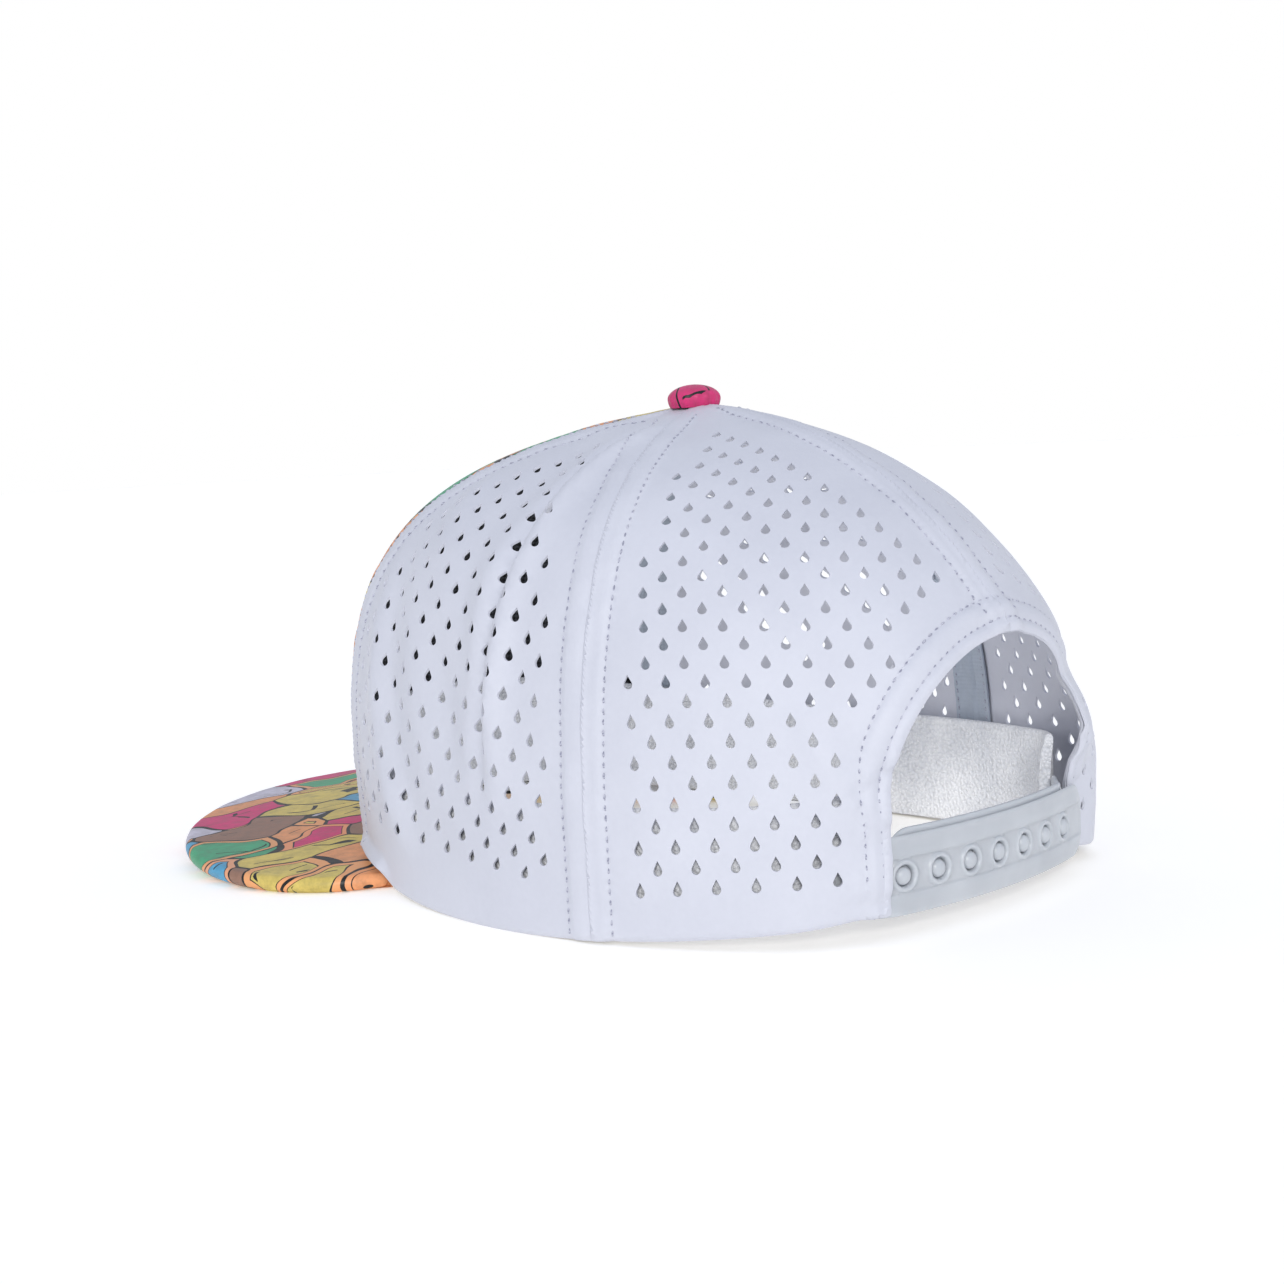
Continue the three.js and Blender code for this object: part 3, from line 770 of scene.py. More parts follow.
def triangulate(outline, holes, extra, precision):
    """Points and upward triangles that fill an outline but not its holes, through the extra points."""
    points, faces, start = [*outline, *extra], [list(range(len(outline)))], len(outline) + len(extra)
    for hole in holes:
        faces.append(list(range(start, start + len(hole))))
        points.extend(hole)
        start += len(hole)
    made = geometry.delaunay_2d_cdt([Vector(p) for p in points], [], faces, 1, precision, True)
    kept = [face for face, origin in zip(made[2], made[5]) if list(origin) == [0]]
    used = sorted({i for face in kept for i in face})
    place = {old: new for new, old in enumerate(used)}
    flat = np.array([made[0][i] for i in used], float)
    triangles = [[place[i] for i in face] for face in kept]

    def is_upward(face):
        a, b, c = flat[face]
        return np.cross(b - a, c - a) > 0
    return flat, [face if is_upward(face) else face[::-1] for face in triangles]


def cut_mesh(outline, holes, insets, spacing, grid):
    """Triangles that fill an outline but not its holes, with rows of points along the outline's edge."""
    if np.cross(outline, np.roll(outline, -1, 0)).sum() < 0:
        outline = outline[::-1]
    inward = inward_of(outline)
    rows = []
    for inset in insets:
        row = evenly(outline + inward * inset, spacing)
        rows.append(row[distance_to(row, outline) > inset * 0.96])
    low, high = outline.min(0), outline.max(0)
    xs = np.arange(low[0], high[0], grid)
    ys = np.arange(low[1], high[1], grid * 0.866)
    mesh_x, mesh_y = np.meshgrid(xs, ys)
    mesh_x = mesh_x + (np.arange(len(ys)) % 2)[:, None] * grid / 2
    field = np.stack([mesh_x.ravel(), mesh_y.ravel()], -1)
    field = field[is_inside(field, outline)]
    field = field[distance_to(field, outline) > insets[-1] + grid * 0.6]
    extra = np.concatenate([*rows, field])
    extra = extra[is_inside(extra, outline)]
    for hole in holes:
        centre, reach = hole.mean(0), np.ptp(hole, axis=0) / 2 + grid * 0.36
        extra = extra[((extra - centre) ** 2 / reach ** 2).sum(1) > 1]
    return triangulate(outline, holes, extra, 1e-4)


class Cut:
    """A panel's flat cutting: u round the crown from a middle meridian, v up that meridian."""

    def __init__(self, middle):
        self.middle = middle
        self.meridian = sample(RISE, middle, SHARES)

    def flat(self, angle, t):
        angle, t = np.broadcast_arrays(np.asarray(angle, float), np.asarray(t, float))
        return np.stack([past(angle, t, self.middle), np.interp(t, SHARES, self.meridian)], -1)

    def place(self, flat):
        t = np.interp(flat[:, 1], self.meridian, SHARES)
        angle = np.full(len(flat), float(self.middle))
        for _ in range(8):
            angle += turn_for(angle, t, flat[:, 0] - past(angle, t, self.middle))
            angle = np.clip(angle, -BACK_LIMIT, BACK_LIMIT)
        return angle, t


def meridian(angle, low=0, count=90):
    """Places up the crown at one angle, from a height share to the panels' top."""
    return np.full(count, angle), np.linspace(low, PANEL_TOP, count)


def downward(line):
    return line[0][::-1], line[1][::-1]


def edges_between(first, second, count):
    """The edges of a panel between two seams: along its hem, up the second seam and down the first."""
    bottom = np.linspace(first, second, count)
    return [(bottom, hem(bottom)), meridian(second), downward(meridian(first))]


def back_edges():
    """The edges of the left back panel: hem, opening, centre-back seam and rear seam."""
    arch_angle, arch_t = opening_line(0)
    half = len(arch_t) // 2
    bottom = np.linspace(REAR_SEAM, arch_angle[0], 40)
    return [(bottom, 0 * bottom), (arch_angle[:half], arch_t[:half]), meridian(CENTRE_BACK, ARCH_TOP, 60),
            downward(meridian(REAR_SEAM))]


def outline_of(cut, edges, spacing):
    """The flat outline, keeping the corners between edges."""
    parts = []
    for angle, t in edges:
        t = np.maximum(t, hem(angle))
        parts.append(evenly(cut.flat(angle, t), spacing, closed=False)[:-1])
    return np.concatenate(parts)


def side_grain(x, y):
    """Where the side panel's straight grain comes to lie once it is sewn and pulled over the front."""
    from_rear = 54 - x
    stretched = from_rear + 0.33 * np.maximum(0, from_rear - 30)
    u = 54 - stretched - 0.005 * (y - 55) ** 2
    v = y - 0.0024 * np.maximum(0, u - 5) ** 2
    return np.stack([u, v], -1)


def back_grain(x, y):
    """The same for the back panel, which leans towards the centre as it rises."""
    u = x + 0.0026 * np.maximum(0, y - 38) ** 2
    v = y - 0.0012 * (u + 20) ** 2 - 0.0015 * np.maximum(0, y - 20) * (u + 20)
    return np.stack([u, v], -1)


def teardrop(count=14):
    """A drop that points up: a round base and straight sides to the tip."""
    radius = HOLE["width"] / 2
    tip = HOLE["height"] - radius
    side = math.acos(radius / tip)
    turns = np.linspace(math.pi / 2 + side, math.pi / 2 - side + 2 * math.pi, count - 1)
    ring = np.stack([radius * np.cos(turns), radius * np.sin(turns)], -1)
    return np.concatenate([ring, [[0, tip]]]) - np.array([0, (tip - radius) / 2])


def perforation(outline, grain, origin, clear_of):
    """The holes of a panel: lattice places whose drop stays clear of each edge."""
    step = HOLE["pitch"] / 2
    drop = teardrop()
    holes = []
    for i in range(-16, 17):
        for j in range(0, 34):
            if (i + j) % 2:
                continue
            x, y = origin[0] + i * step, origin[1] + j * step
            centre = grain(np.array([x]), np.array([y]))
            if is_inside(centre, outline)[0] and clear_of(centre[0]):
                holes.append(grain(x + drop[:, 0], y + drop[:, 1]))
    return holes


SIDE_CUT = Cut((FRONT_SEAM + REAR_SEAM) / 2)
BACK_CUT = Cut(140)
FRONT_CUT = Cut(0)
OUTLINE_SPACING = 1.3
ROW_SPACING = 1.5
FIELD_SPACING = {"perforated": 2.0, "plain": 2.4}
# Rows of points at these distances inside a panel's edge carry the relief of its seams and stitch rows.
EDGE_ROWS = [0.3, 0.7, 1.2, 1.9, 2.8, 3.7, 4.5, 5.1, 5.5, 5.9, 6.6, 7.6]
OPENING_EDGE_ROWS = [8.0, 8.4, 8.9, 9.8]
# The perforations' margins from the edges, and how much wider they get towards the top of the panel.
SIDE_HOLES = {"origin": (35.6, 16.6), "front": (10.6, 1), "rear": (9.4, 3.6), "low": 9.5, "high": 137}
BACK_HOLES = {"origin": (-22.4, 10.9), "rear": (9.6, 1.2), "centre": (9.6, 3), "arch": (10.8, 0), "low": 5.5,
              "high": 132}


def is_clear(point, line, margin, widen=0.0):
    start, growth = margin
    return np.linalg.norm(line - point, axis=1).min() > start + growth * widen


def side_flat():
    outline = outline_of(SIDE_CUT, edges_between(FRONT_SEAM, REAR_SEAM, 60), OUTLINE_SPACING)
    front, rear = [SIDE_CUT.flat(*meridian(angle, count=160)) for angle in (FRONT_SEAM, REAR_SEAM)]

    def clear_of(point):
        widen = smooth(point[1], 70, 112)
        return (is_clear(point, front, SIDE_HOLES["front"], widen)
                and is_clear(point, rear, SIDE_HOLES["rear"], widen)
                and SIDE_HOLES["low"] < point[1] < SIDE_HOLES["high"])
    holes = perforation(outline, side_grain, SIDE_HOLES["origin"], clear_of)
    return (*cut_mesh(outline, holes, EDGE_ROWS, ROW_SPACING, FIELD_SPACING["perforated"]), outline)


def back_flat():
    outline = outline_of(BACK_CUT, back_edges(), OUTLINE_SPACING)
    rear, centre = [BACK_CUT.flat(*meridian(angle, count=160)) for angle in (REAR_SEAM, CENTRE_BACK)]
    centre = centre[meridian(CENTRE_BACK, count=160)[1] > ARCH_TOP]
    arch = BACK_CUT.flat(*[values[:80] for values in opening_line(0)])

    def clear_of(point):
        widen = smooth(point[1], 90, 118)
        return (is_clear(point, rear, BACK_HOLES["rear"], widen)
                and is_clear(point, centre, BACK_HOLES["centre"], widen)
                and is_clear(point, arch, BACK_HOLES["arch"])
                and BACK_HOLES["low"] < point[1] < BACK_HOLES["high"])
    holes = perforation(outline, back_grain, BACK_HOLES["origin"], clear_of)
    rows = [*EDGE_ROWS, *OPENING_EDGE_ROWS]
    return (*cut_mesh(outline, holes, rows, ROW_SPACING, FIELD_SPACING["perforated"]), outline)


def front_flat():
    outline = outline_of(FRONT_CUT, edges_between(-FRONT_SEAM, FRONT_SEAM, 80), OUTLINE_SPACING)
    return (*cut_mesh(outline, [], EDGE_ROWS, ROW_SPACING, FIELD_SPACING["plain"]), outline)


def panel(name, cut, flat, faces, outline, side, material, slot):
    """A panel from its flat cutting; side -1 mirrors it to the wearer's right."""
    angle, t = cut.place(flat)
    angle = angle * side
    faces = faces if side > 0 else [face[::-1] for face in faces]
    outer, inner = crown_point(angle, t), crown_point(angle, t, CLOTH)
    piece = cloth_piece(name + "_cloth", name, material, outer, inner, faces, flat)


def crown_panels():
    panel("front_panel", FRONT_CUT, *front_flat(), 1, FRONT_PRINT, "printed_cloth")
    side_cut, back_cut = side_flat(), back_flat()
    for name, side in (("left", 1), ("right", -1)):
        panel(f"side_panel_{name}", SIDE_CUT, *side_cut, side, WHITE_CLOTH, "white_cloth")
        panel(f"back_panel_{name}", BACK_CUT, *back_cut, side, WHITE_CLOTH, "white_cloth")


# ---- inner layers ----

TAPE = {"thickness": 0.5, "top": 0.95, "back_low": 0.46}
BUCKRAM_SHAPE = {"thickness": 0.7, "top": 0.93, "width": 140}


def tape_half_width(seam, t):
    """The tapes narrow where the seams come together under the button."""
    place = surface(seam, t)
    radius = np.hypot(place[..., 0], place[..., 1] - TOP_Y)
    half_panel = math.radians((REAR_SEAM - FRONT_SEAM) / 2)
    return np.minimum(TAPE_HALF_WIDTH, radius * math.sin(half_panel) - 0.3)


def seam_tape(name, seam):
    def half(t):
        return tape_half_width(seam, t) * turn_for(seam, t, 1)
    t = np.linspace(0, TAPE["top"], 64)
    crown_strip(f"{name}_woven", name, LINING, half, seam, t, 13, TAPE["thickness"],
                2 * TAPE_HALF_WIDTH)


def back_tape():
    """The tape over the centre-back seam, which crosses the angle 180."""
    t = np.linspace(TAPE["back_low"], TAPE["top"], 44)
    share = np.linspace(-1, 1, 14)
    half = tape_half_width(180, t)
    turn = half[:, None] * turn_for(BESIDE_BACK, t, 1)[:, None] * share[None, :]
    angle = np.where(turn < 0, 180 + turn, -180 + turn)
    height = np.broadcast_to(t[:, None], angle.shape)
    top = crown_point(angle, height, TAPE_DEPTH)
    bottom = crown_point(angle, height, TAPE_DEPTH + TAPE["thickness"])
    faces = grid_faces(len(t), len(share))
    flat = np.stack([turn, sample(RISE, 180, height)], -1)
    name = "seam_tape_back"
    piece = cloth_piece(f"{name}_woven", name, LINING, top, bottom, faces, flat)
    declare_strip(2 * TAPE_HALF_WIDTH)


def seam_tapes():
    for name, side in (("left", 1), ("right", -1)):
        seam_tape(f"seam_tape_front_{name}", side * FRONT_SEAM)
        seam_tape(f"seam_tape_rear_{name}", side * REAR_SEAM)
    back_tape()


def front_buckram():
    def half(t):
        return FRONT_SEAM - turn_for(FRONT_SEAM, t, BUCKRAM_INSET)
    t = np.linspace(0, BUCKRAM_SHAPE["top"], 60)
    crown_strip("front_buckram_mesh", "front_buckram", BUCKRAM, half, 0, t, 60,
                BUCKRAM_SHAPE["thickness"], BUCKRAM_SHAPE["width"])


def opening_binding():
    """The folded band inside the opening's edge."""
    widths = [BINDING[0], 1.3, 2.2, 3.2, 4.4, 5.8, 7.2, 8.4, 9.3, BINDING[1]]
    lines = [opening_line(width, 161) for width in widths]
    angle = np.stack([line[0] for line in lines], 1)
    t = np.maximum(0.01, np.stack([line[1] for line in lines], 1))
    rounding = 0.25 * (bump(np.array(widths) - widths[0], 0.4) + bump(np.array(widths) - widths[-1], 0.4))
    top = crown_point(angle, t, BINDING_DEPTH)
    bottom = crown_point(angle, t, BINDING_DEPTH + 0.7 - rounding[None, :])
    faces = grid_faces(len(t), len(widths))
    length = running(crown_point(*lines[5]))[-1]
    along = np.linspace(0, length, len(t))
    flat = np.stack(np.broadcast_arrays(np.array(widths)[None, :], along[:, None]), -1)
    piece = cloth_piece("opening_binding_cloth", "opening_binding", BINDING_CLOTH, top, bottom,
                        faces, flat)


def band_profile(count):
    """A soft rectangle: shares across the band's thickness (0 at the crown) and up its height."""
    profile = []
    for turn in np.linspace(0, 2 * math.pi, count, endpoint=False):
        c, s = math.cos(turn), math.sin(turn)
        across = 0.5 - 0.5 * math.copysign(abs(c) ** 0.55, c)
        up = 0.5 + 0.5 * math.copysign(abs(s) ** 0.35, s)
        profile.append((across, up))
    return profile


def sweatband():
    """A soft folded band: flat against the crown, rounded towards the head."""
    end = 180 - OPENING_HALF + TAB_NARROWING - SWEATBAND["end_behind_tab"]
    angles = np.linspace(-end, end, 420)
    near_tab = smooth(np.abs(angles), end - 20, end - 6)
    depth = SWEATBAND["depth"] + (SWEATBAND["tab_depth"] - SWEATBAND["depth"]) * near_tab
    profile = band_profile(36)
    bottom = 0.004
    rings = []
    for across, up in profile:
        t = np.full(len(angles), bottom + (SWEATBAND["height"] - bottom) * up)
        base = surface(angles, t)
        towards_head = 1 if across > 0.5 else 0
        puff = 0.35 * cloth_noise(base, 14, 21) * towards_head
        quilting = 0.3 * bump(up - 0.9, 0.05) * towards_head
        place = depth + across * (SWEATBAND["thickness"] - quilting) + puff * across * 0.5
        rings.append(base - surface_normal(angles, t) * place[:, None])
    points = np.stack(rings, 1)
    count = len(profile)
    faces = [face[::-1] for face in grid_faces(len(angles), count, wrap=True)]
    first = list(range(count))
    last = [(len(angles) - 1) * count + i for i in range(count)]
    piece = make_piece("sweatband_terry", points.reshape(-1, 3), [*faces, first, last[::-1]], TERRY, sharp=60)
    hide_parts("sweatband")


# ---- stitching ----

def stitch_points(path, normals):
    """Tubes for the stitches along a path; each dives into the cloth at its ends."""
    length = running(path)
    starts = np.arange(0.4, length[-1] - STITCH["length"], STITCH["pitch"])
    stations, sides = 6, 6
    arch = np.sin(np.linspace(0, math.pi, stations))
    points, faces = [], []
    for start in starts:
        places = start + np.linspace(0, STITCH["length"], stations)
        line = np.stack([np.interp(places, length, path[:, k]) for k in range(3)], -1)
        up = np.array([np.interp(start, length, normals[:, k]) for k in range(3)])
        up = unit(up)
        across = np.cross(unit(line[-1] - line[0]), up)
        base = len(points)
        for k in range(stations):
            radius = STITCH["radius"] * (0.6 + 0.4 * arch[k])
            centre = line[k] + up * (STITCH["rise"] * arch[k] - STITCH["sink"])
            for turn in np.linspace(0, 2 * math.pi, sides, endpoint=False):
                points.append(centre + radius * (across * math.cos(turn) + up * math.sin(turn)))
        faces.extend([[base + i for i in face] for face in grid_faces(stations, sides, wrap=True)])
        faces.append([base + i for i in range(sides)][::-1])
        faces.append([base + (stations - 1) * sides + i for i in range(sides)])
    return points, faces


def stitch_piece(name, lines, depth=0.0):
    """All stitches of some rows: on the cloth's face, or below it at a depth, facing into the cap."""
    points, faces = [], []
    for angle, t in lines:
        path = crown_point(angle, t, depth)
        normals = surface_normal(angle, t) * (1 if depth == 0 else -1)
        made, made_faces = stitch_points(path, normals)
        faces.extend([[i + len(points) for i in face] for face in made_faces])
        points.extend(made)
    piece = make_piece(name, np.array(points), faces, THREAD, sharp=80)


def seam_row(seam, offset, low, high=ROW_TOP):
    """A stitch row this far from a seam; near the button it keeps inside its own panel."""
    t = np.linspace(low, high, 260)
    room = np.abs(past(seam + (3 if seam < 170 else -3), t, seam)) * 8
    offset = np.sign(offset) * np.minimum(abs(offset), room)
    angle = seam + turn_for(np.full(260, min(seam, BESIDE_BACK)), t, 1) * offset
    return angle, np.maximum(t, hem(angle) + 0.004)


def topstitching():
    front = seam_row(FRONT_SEAM, ROW_BESIDE_SEAM, 0.004)
    before_rear = seam_row(REAR_SEAM, -ROW_BESIDE_SEAM, 0.004)
    behind_rear = seam_row(REAR_SEAM, ROW_BESIDE_SEAM, 0.004)
    back = seam_row(180, -ROW_BESIDE_SEAM, ARCH_TOP + 0.025)
    for name, side in (("left", 1), ("right", -1)):
        lines = [(angle * side, t) for angle, t in (front, before_rear, behind_rear, back)]
        stitch_piece(f"topstitch_{name}", lines)
        stitch_piece(f"tape_stitch_{name}", lines[1:3], TAPE_DEPTH + TAPE["thickness"])
    angle, t = seam_row(FRONT_SEAM, -1.2, 0.03)
    stitch_piece("front_edge_stitch", [(angle, t), (-angle, t)])
    halves = []
    for index in (0, 1):
        angle, t = [values[4:-4] for values in opening_line(opening_row(index), 241)]
        middle = len(t) // 2
        halves.extend([(angle[:middle], t[:middle]), (angle[middle + 1:], t[middle + 1:])])
    stitch_piece("opening_stitch", halves)


# ---- brim ----

BRIM_END_COLUMNS = 7
BRIM_CLOTH = 0.55


def brim_columns(count):
    """The brim's columns: rim, outline, inward direction, and the shift and squeeze of its rounded ends."""
    def outline(angle):
        share = np.minimum(1, np.abs(angle) / BRIM["corner"])
        width = np.sqrt(1 - share ** BRIM["roundness"])
        rim = surface(angle, 0.0)
        rim[:, 2] -= BRIM["droop"] * width + BRIM["drop"]
        turn = np.radians(angle)
        away = unit(np.stack([np.sin(turn) / REACH["side"], -np.cos(turn) / REACH["front"], 0 * angle], -1))
        return rim + away * (BRIM["length"] * width)[:, None]
    angle = BRIM["corner"] * np.sin(np.radians(np.linspace(-89.6, 89.6, count)))
    tangent = outline(angle + 0.02) - outline(angle - 0.02)
    tangent[:, 2] = 0
    tangent = unit(tangent)
    inward = np.stack([-tangent[:, 1], tangent[:, 0], 0 * angle], -1)
    rim = surface(angle, 0.0) - surface_normal(angle, np.zeros(count)) * BRIM_TUCK
    rim[:, 2] = surface(angle, 0.0)[:, 2] - BRIM["drop"]
    turn = np.radians(np.linspace(90, 10, BRIM_END_COLUMNS))
    ends = np.r_[turn, np.zeros(count), turn[::-1]]
    order = np.clip(np.arange(-BRIM_END_COLUMNS, count + BRIM_END_COLUMNS), 0, count - 1)
    sign = np.r_[-np.ones(BRIM_END_COLUMNS), np.zeros(count), np.ones(BRIM_END_COLUMNS)]
    shift = tangent[order] * (sign * np.sin(ends))[:, None]
    return rim[order], outline(angle)[order], inward[order], shift, np.cos(ends)


def brim_cover(name, node, turns, top):
    """A cover over one face of the board, rolled over its rounded edge through the given turns."""
    rim, edge, inward, shift, squeeze = brim_columns(150)
    count = len(rim)
    up = np.array([0, 0, 1.0])
    side = 1 if top else -1

    def face(radius):
        tall = (radius * squeeze)[:, None]
        end = shift * radius
        roll = [edge + end + inward * (BRIM["half"] - tall * math.cos(turn)) + up * tall * math.sin(turn)
                for turn in turns]
        start = rim + end + up * side * tall
        flat_edge = edge + end + inward * BRIM["half"] + up * side * tall
        shares = np.linspace(0, 1, 30)[:-1]
        flat_part = [start + (flat_edge - start) * share for share in shares]
        return np.stack([*flat_part, *roll])
    outer, inner = face(BRIM["half"]), face(BRIM["half"] - BRIM_CLOTH)
    wave = 0.12 * cloth_noise(outer.reshape(-1, 3), 9, 31).reshape(outer.shape[:2])
    outer[:, :, 2] += wave * side * 0.8
    faces = grid_faces(len(outer), count)
    if not top:
        faces = [corners[::-1] for corners in faces]
    piece = cloth_piece(name, node, BRIM_PRINT, outer, inner, faces)


def finish_node(node, material):
    """A CAD node that keeps its shape and gets a material."""
    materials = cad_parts[node].data.materials
    materials.clear()
    materials.append(material)


def brim():
    quarter = math.pi / 2
    brim_cover("brim_top_cloth", "brim_top_cover", np.linspace(quarter, -0.62 * quarter, 14), True)
    brim_cover("brim_under_cloth", "brim_under_cover", np.linspace(-quarter, -0.72 * quarter, 5), False)
    finish_node("brim_board", board_material())


# ---- button ----

def button_rings(inset):
    """Radii and heights up the button: a gathered skirt, then a dome."""
    radius, top = BUTTON["radius"] - inset, BUTTON["height"] - inset
    waist, skirt = BUTTON_WAIST, BUTTON["skirt"]
    rings = []
    for height in np.linspace(skirt, waist, 7)[:-1]:
        rings.append((radius - 0.7 * ((waist - height) / (waist - skirt)) ** 2, height))
    for turn in np.linspace(0, math.pi / 2, 13)[:-1]:
        rings.append((radius * math.cos(turn), waist + (top - waist) * math.sin(turn)))
    return rings


def button_face(inset, turns):
    """One face of the button's cloth: its rings, then its top. Only the outer face is gathered."""
    made = []
    for radius, height in button_rings(inset):
        gather = 0 if inset else 0.16 * (1 - smooth(height, BUTTON_WAIST, BUTTON_WAIST + 2.2))
        ripple = radius + gather * np.cos(turns * 15 + 0.6 * np.sin(turns * 4))
        made.append(np.stack([ripple * np.cos(turns), ripple * np.sin(turns), 0 * turns + height], -1))
    return np.concatenate([*made, [[0, 0, BUTTON["height"] - inset]]]) + np.array([0, TOP_Y, TOP_Z])


def button():
    """The covered button: cloth drawn over a dome and gathered under its edge."""
    sides = 72
    turns = np.linspace(0, 2 * math.pi, sides, endpoint=False)
    rings = len(button_rings(0))
    last, top = (rings - 1) * sides, rings * sides
    fans = [[last + i, last + (i + 1) % sides, top] for i in range(sides)]
    faces = [*grid_faces(rings, sides, wrap=True), *fans]
    piece = cloth_piece("button_cloth", "button_cover", BUTTON_PRINT, button_face(0, turns),
                        button_face(BUTTON["cover"], turns), faces)
    steel = steel_material()
    for node in ("button_shell", "button_prong"):
        finish_node(node, steel)


# ---- size strap ----

OUTER_MID = STRAP["radius"] - STRAP["thickness"] / 2
INNER_MID = OUTER_MID - STRAP["thickness"] - STRAP_GAP
ARC_CENTRE_Y = STRAP["back_y"] - STRAP["radius"]
PEG_PLACES = [(i - (PEG["count"] - 1) / 2) * PEG["pitch"] + PEG["offset"] for i in range(PEG["count"])]
STRAP_STEP = 0.4
# The sewn root: where it lies under the tab, how long it is, and how much lower it is than the band.
ROOT = {"share": 0.06, "depth": 3.05, "length": 9.0, "slope": 3, "low": 2.2, "high": 2.8}
# Rings of points round each hole and over each peg carry the relief of their edges.
HOLE_RADII = [2.45, 2.65, 2.9, 3.15, 3.4, 3.6]
PEG_RADII = [0.01, 0.7, 1.2, 1.6, 1.85, 1.94, 2.0, 2.3]
STRAP_INSETS = [0.12, 0.3, 0.55, 0.9]
CHANNEL_HALF = 3.8
CHANNEL_ROWS = [-4.0, -3.8, -3.6, 3.6, 3.8, 4.0]


def strap_path(mid, side, end_x):
    """The band's middle line from above: from inside its tab, past the hinge, to its free end."""
    root_end = 180 - OPENING_HALF + TAB_NARROWING - 1.9
    root = side * np.linspace(root_end - 7.5, root_end - 1.0, 8)
    inside = surface(root, ROOT["share"]) - surface_normal(root, ROOT["share"]) * ROOT["depth"]
    x = np.linspace(side * (HINGE_X - 0.3), end_x, 220)
    radius = mid(x)
    y = ARC_CENTRE_Y + np.sqrt(radius ** 2 - x ** 2)
    path = np.concatenate([inside[:, :2], np.stack([x, y], -1)])
    bend = evenly(path, STRAP_STEP, closed=False)
    near_hinge = bump(side * bend[:, 0] - HINGE_X - 1.2, 2.2)[:, None]
    for _ in range(30):
        softer = bend.copy()
        softer[1:-1] = (bend[:-2] + bend[2:]) / 2
        bend = bend + (softer - bend) * near_hinge
    return evenly(bend, STRAP_STEP, closed=False)


def strap_outline(total, height):
    """The band laid flat: a narrower root inside the tab, and a free end with round corners."""
    bottom, top, corner = STRAP["bottom"], STRAP["bottom"] + height, STRAP["corner"]
    turns = np.linspace(0, math.pi / 2, 14)
    lower = np.stack([total - corner + corner * np.sin(turns), bottom + corner - corner * np.cos(turns)], -1)
    upper = np.stack([total - corner + corner * np.cos(turns), top - corner + corner * np.sin(turns)], -1)
    root, slope = ROOT["length"], ROOT["length"] - ROOT["slope"]
    root_low = [[0, bottom + ROOT["low"]], [slope, bottom + ROOT["low"]], [root, bottom]]
    root_high = [[root, top], [slope, top - ROOT["high"]], [0, top - ROOT["high"]]]
    return evenly(np.concatenate([root_low, lower, upper, root_high]), 0.8)


def strap_cut(outline, cut_holes, rings, centres):
    """Triangles of a band in its flat shape, with the points that its relief needs."""
    low, high = outline.min(0), outline.max(0)
    places = np.arange(low[0] + 10, high[0] - 1.6, 1.0)
    lines = np.array([[x, PEG["z"] + z] for z in CHANNEL_ROWS for x in places])
    xs, ys = np.meshgrid(np.arange(low[0], high[0], 1.1), np.arange(low[1], high[1], 1.1))
    field = np.stack([xs.ravel(), ys.ravel()], -1)
    field = field[is_inside(field, outline)]
    field = field[distance_to(field, outline) > STRAP_INSETS[-1] + 0.5]
    field = field[np.abs(np.abs(field[:, 1] - PEG["z"]) - CHANNEL_HALF) > 0.6]
    spare = np.concatenate([field, lines])
    for centre in centres:
        spare = spare[np.linalg.norm(spare - centre, axis=1) > 3.95]
    inward = inward_of(outline)
    edge_rows = []
    for inset in STRAP_INSETS:
        row = outline + inward * inset
        edge_rows.append(row[distance_to(row, outline) > inset * 0.9])
    extra = np.concatenate([spare, *rings, *edge_rows])
    extra = extra[is_inside(extra, outline)]
    return triangulate(outline, cut_holes, extra, 1e-3)


def strap_band(name, side, mid, end_x, height, holes):
    """One plastic band: holes with raised rings on the outer one, round pegs on the inner one."""
    path = strap_path(mid, side, end_x)
    length = running(path)
    ahead = unit(np.gradient(path, axis=0))
    out = np.stack([ahead[:, 1], -ahead[:, 0]], -1) * side
    outline = strap_outline(length[-1], height)
    arc_places = np.interp(0.0, side * -path[:, 0], length) + side * np.array(PEG_PLACES)
    centres = np.stack([arc_places, np.full(len(arc_places), PEG["z"])], -1)
    turns = np.linspace(0, 2 * math.pi, 28, endpoint=False)
    circle = np.stack([np.cos(turns), np.sin(turns)], -1)
    hole_radius = PEG["radius"] + PEG["clearance"] - 0.25
    radii = HOLE_RADII if holes else PEG_RADII
    rings = [centre + circle * radius for centre in centres for radius in radii]
    cut_holes = [centre + circle * hole_radius for centre in centres] if holes else []
    flat, faces = strap_cut(outline, cut_holes, rings, centres)
    edge = distance_to(flat, outline)
    from_peg = np.min([np.linalg.norm(flat - centre, axis=1) for centre in centres], axis=0)
    raised = outer_face_height(flat, edge, from_peg) if holes else inner_face_height(edge, from_peg)
    base = np.stack([np.interp(flat[:, 0], length, path[:, k]) for k in range(2)], -1)
    normal = unit(np.stack([np.interp(flat[:, 0], length, out[:, k]) for k in range(2)], -1))
    half = STRAP["thickness"] / 2
    back_edge = 0.3 * np.clip(1 - edge / 0.5, 0, 1) ** 2

    def face(offset):
        return np.concatenate([base + normal * offset[:, None], flat[:, 1:]], -1)
    points = np.concatenate([face(half + raised), face(-half + back_edge)])
    shell = thick_faces([corners if side > 0 else corners[::-1] for corners in faces], len(flat))
    piece = make_piece(name, points, shell, STRAP_PLASTIC, body=None, sharp=55)
    hinge = np.argmin(np.abs(side * path[:, 0] - HINGE_X))
    places = [np.append(path[index], PEG["z"]) for index in (max(0, hinge - 7), hinge + 9)]
    return piece, *[tuple(metres(place)) for place in places]


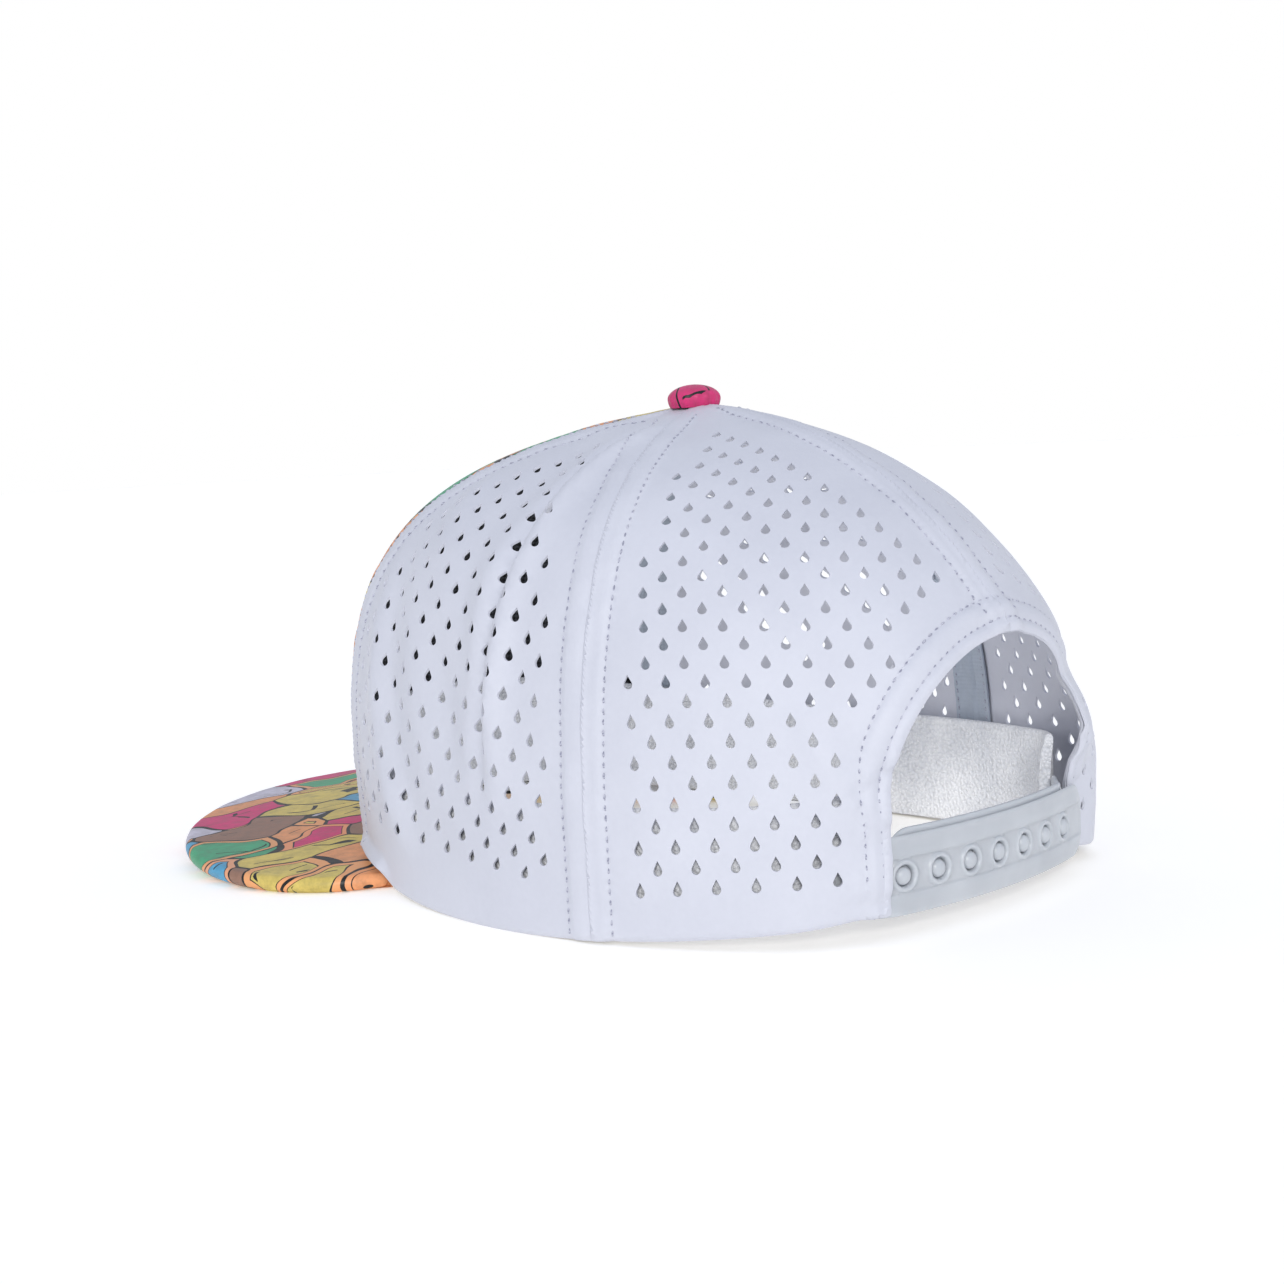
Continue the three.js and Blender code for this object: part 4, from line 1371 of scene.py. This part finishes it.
def outer_face_height(flat, edge, from_peg):
    """Bevelled edge, recessed middle channel and a raised ring round each hole."""
    bevel = -0.4 * np.clip(1 - edge / 0.9, 0, 1) ** 2 - 0.3 * (1 - smooth(edge, 1.7, 2.5))
    from_middle = np.abs(flat[:, 1] - PEG["z"])
    channel = -0.4 * (1 - smooth(from_middle, 3.6, 3.95)) * smooth(edge, 1.2, 2.4)
    ring = 0.72 * np.clip(1 - ((from_peg - 3.0) / 0.66) ** 2, 0, 1) ** 0.7
    return bevel + channel + ring


def inner_face_height(edge, from_peg):
    """Bevelled edge and round-headed pegs."""
    bevel = -0.35 * np.clip(1 - edge / 0.7, 0, 1) ** 2
    top = STRAP["thickness"] + STRAP_GAP + 0.7
    share = np.clip(from_peg / PEG["radius"], 0, 1)
    dome = np.where(from_peg < 1.97, top - 1.3 + 1.3 * np.sqrt(np.maximum(0, 1 - share ** 2)), 0)
    return bevel + dome


def size_strap():
    """Both bands of the strap; each bends where it leaves its tab."""
    def level(x):
        return OUTER_MID + 0 * x
    outer, start, end = strap_band("size_strap_holes", 1, level, OUTER_END_X, OUTER_HEIGHT, True)
    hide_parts("strap_outer", "strap_outer_root")
    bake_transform(outer)

    def tucked(x):
        return INNER_MID - INNER_TUCK[1] * smooth(-x, INNER_TUCK[0], HINGE_X)
    inner, start, end = strap_band("size_strap_pegs", -1, tucked, INNER_END_X, INNER_HEIGHT, False)
    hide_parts("strap_inner", "strap_inner_root")
    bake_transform(inner)


# ---- stage ----

MIDDLE = [0, 0, 50]
CAMERA = {"azimuth": 133.631, "elevation": 6.715, "roll": -2.718, "distance": 0.4778, "lens": 54.24,
          "shift": (-0.0525, 0.0185)}


def facing(azimuth, elevation):
    """The direction from the cap towards a camera or light."""
    a, e = math.radians(azimuth), math.radians(elevation)
    return Vector((math.sin(a) * math.cos(e), -math.cos(a) * math.cos(e), math.sin(e)))


def camera():
    """A 54 mm lens behind the cap's left, slightly above it and slightly rolled."""
    azimuth, roll = np.radians([CAMERA["azimuth"], CAMERA["roll"]])
    back = np.array(facing(CAMERA["azimuth"], CAMERA["elevation"]))
    level = np.array([math.cos(azimuth), math.sin(azimuth), 0])
    above = np.cross(back, level)
    right = math.cos(roll) * level + math.sin(roll) * above
    up = math.cos(roll) * above - math.sin(roll) * level
    data = bpy.data.cameras.new("camera")
    data.lens = CAMERA["lens"]
    data.sensor_width = 36
    data.shift_x, data.shift_y = CAMERA["shift"]
    data.clip_start = 0.01
    eye = bpy.data.objects.new("camera", data)
    place = Matrix.Identity(4)
    for k, axis in enumerate((right, up, back, metres(MIDDLE) + back * CAMERA["distance"])):
        place.col[k][:3] = axis
    eye.matrix_world = place
    bpy.context.scene.collection.objects.link(eye)
    bpy.context.scene.camera = eye


def light(name, kind, azimuth, elevation, distance, energy, color):
    """A light aimed at the cap's middle; it isn't seen by the camera."""
    towards = facing(azimuth, elevation)
    data = bpy.data.lights.new(name, kind)
    data.energy = energy
    data.color = color
    lamp = bpy.data.objects.new(name, data)
    lamp.location = Vector(metres(MIDDLE)) + towards * distance
    lamp.rotation_euler = towards.to_track_quat("Z", "Y").to_euler()
    lamp.visible_camera = False
    bpy.context.scene.collection.objects.link(lamp)
    return data


def floor():
    mesh = bpy.data.meshes.new("floor")
    reach = 8.0
    corners = [(-reach, -reach, 0), (reach, -reach, 0), (reach, reach, 0), (-reach, reach, 0)]
    mesh.from_pydata(corners, [], [(0, 1, 2, 3)])
    mesh.materials.append(floor_material())
    plane = bpy.data.objects.new("floor", mesh)
    bpy.context.scene.collection.objects.link(plane)


def sky():
    """White where the camera sees it, and a dimmer light that turns bluer upwards for everything else."""
    world = bpy.data.worlds.new("studio")
    bpy.context.scene.world = world
    world.use_nodes = True
    tree = world.node_tree
    shown = tree.nodes["Background"]
    shown.inputs["Color"].default_value = (1.0, 1.0, 1.0, 1)
    shown.inputs["Strength"].default_value = 1.0
    lit = tree.nodes.new("ShaderNodeBackground")
    lit.inputs["Strength"].default_value = 0.72
    place = tree.nodes.new("ShaderNodeTexCoord")
    parts = tree.nodes.new("ShaderNodeSeparateXYZ")
    upward = tree.nodes.new("ShaderNodeValToRGB")
    upward.color_ramp.elements[0].color = (1.0, 1.0, 1.0, 1)
    upward.color_ramp.elements[1].color = (0.80, 0.88, 1.06, 1)
    chooser = tree.nodes.new("ShaderNodeMixShader")
    ray = tree.nodes.new("ShaderNodeLightPath")
    for source, target in (
            (place.outputs["Generated"], parts.inputs[0]),
            (parts.outputs["Z"], upward.inputs["Fac"]),
            (upward.outputs["Color"], lit.inputs["Color"]),
            (ray.outputs["Is Camera Ray"], chooser.inputs["Fac"]),
            (lit.outputs[0], chooser.inputs[1]),
            (shown.outputs[0], chooser.inputs[2]),
            (chooser.outputs[0], tree.nodes["World Output"].inputs["Surface"])):
        tree.links.new(source, target)


def stage():
    floor()
    sky()
    key = light("key_light", "SUN", 134, 22, 2.0, 1.75, (1.0, 0.985, 0.95))
    key.angle = math.radians(16)
    inside = light("inside_fill", "POINT", 0, 0, 0.0, 0.055, (1.0, 1.0, 1.0))
    inside.shadow_soft_size = 0.02
    bpy.context.scene.view_settings.view_transform = "Standard"


def main():
    camera()
    stage()
    crown_panels()
    seam_tapes()
    front_buckram()
    opening_binding()
    sweatband()
    topstitching()
    brim()
    button()
    size_strap()


main()
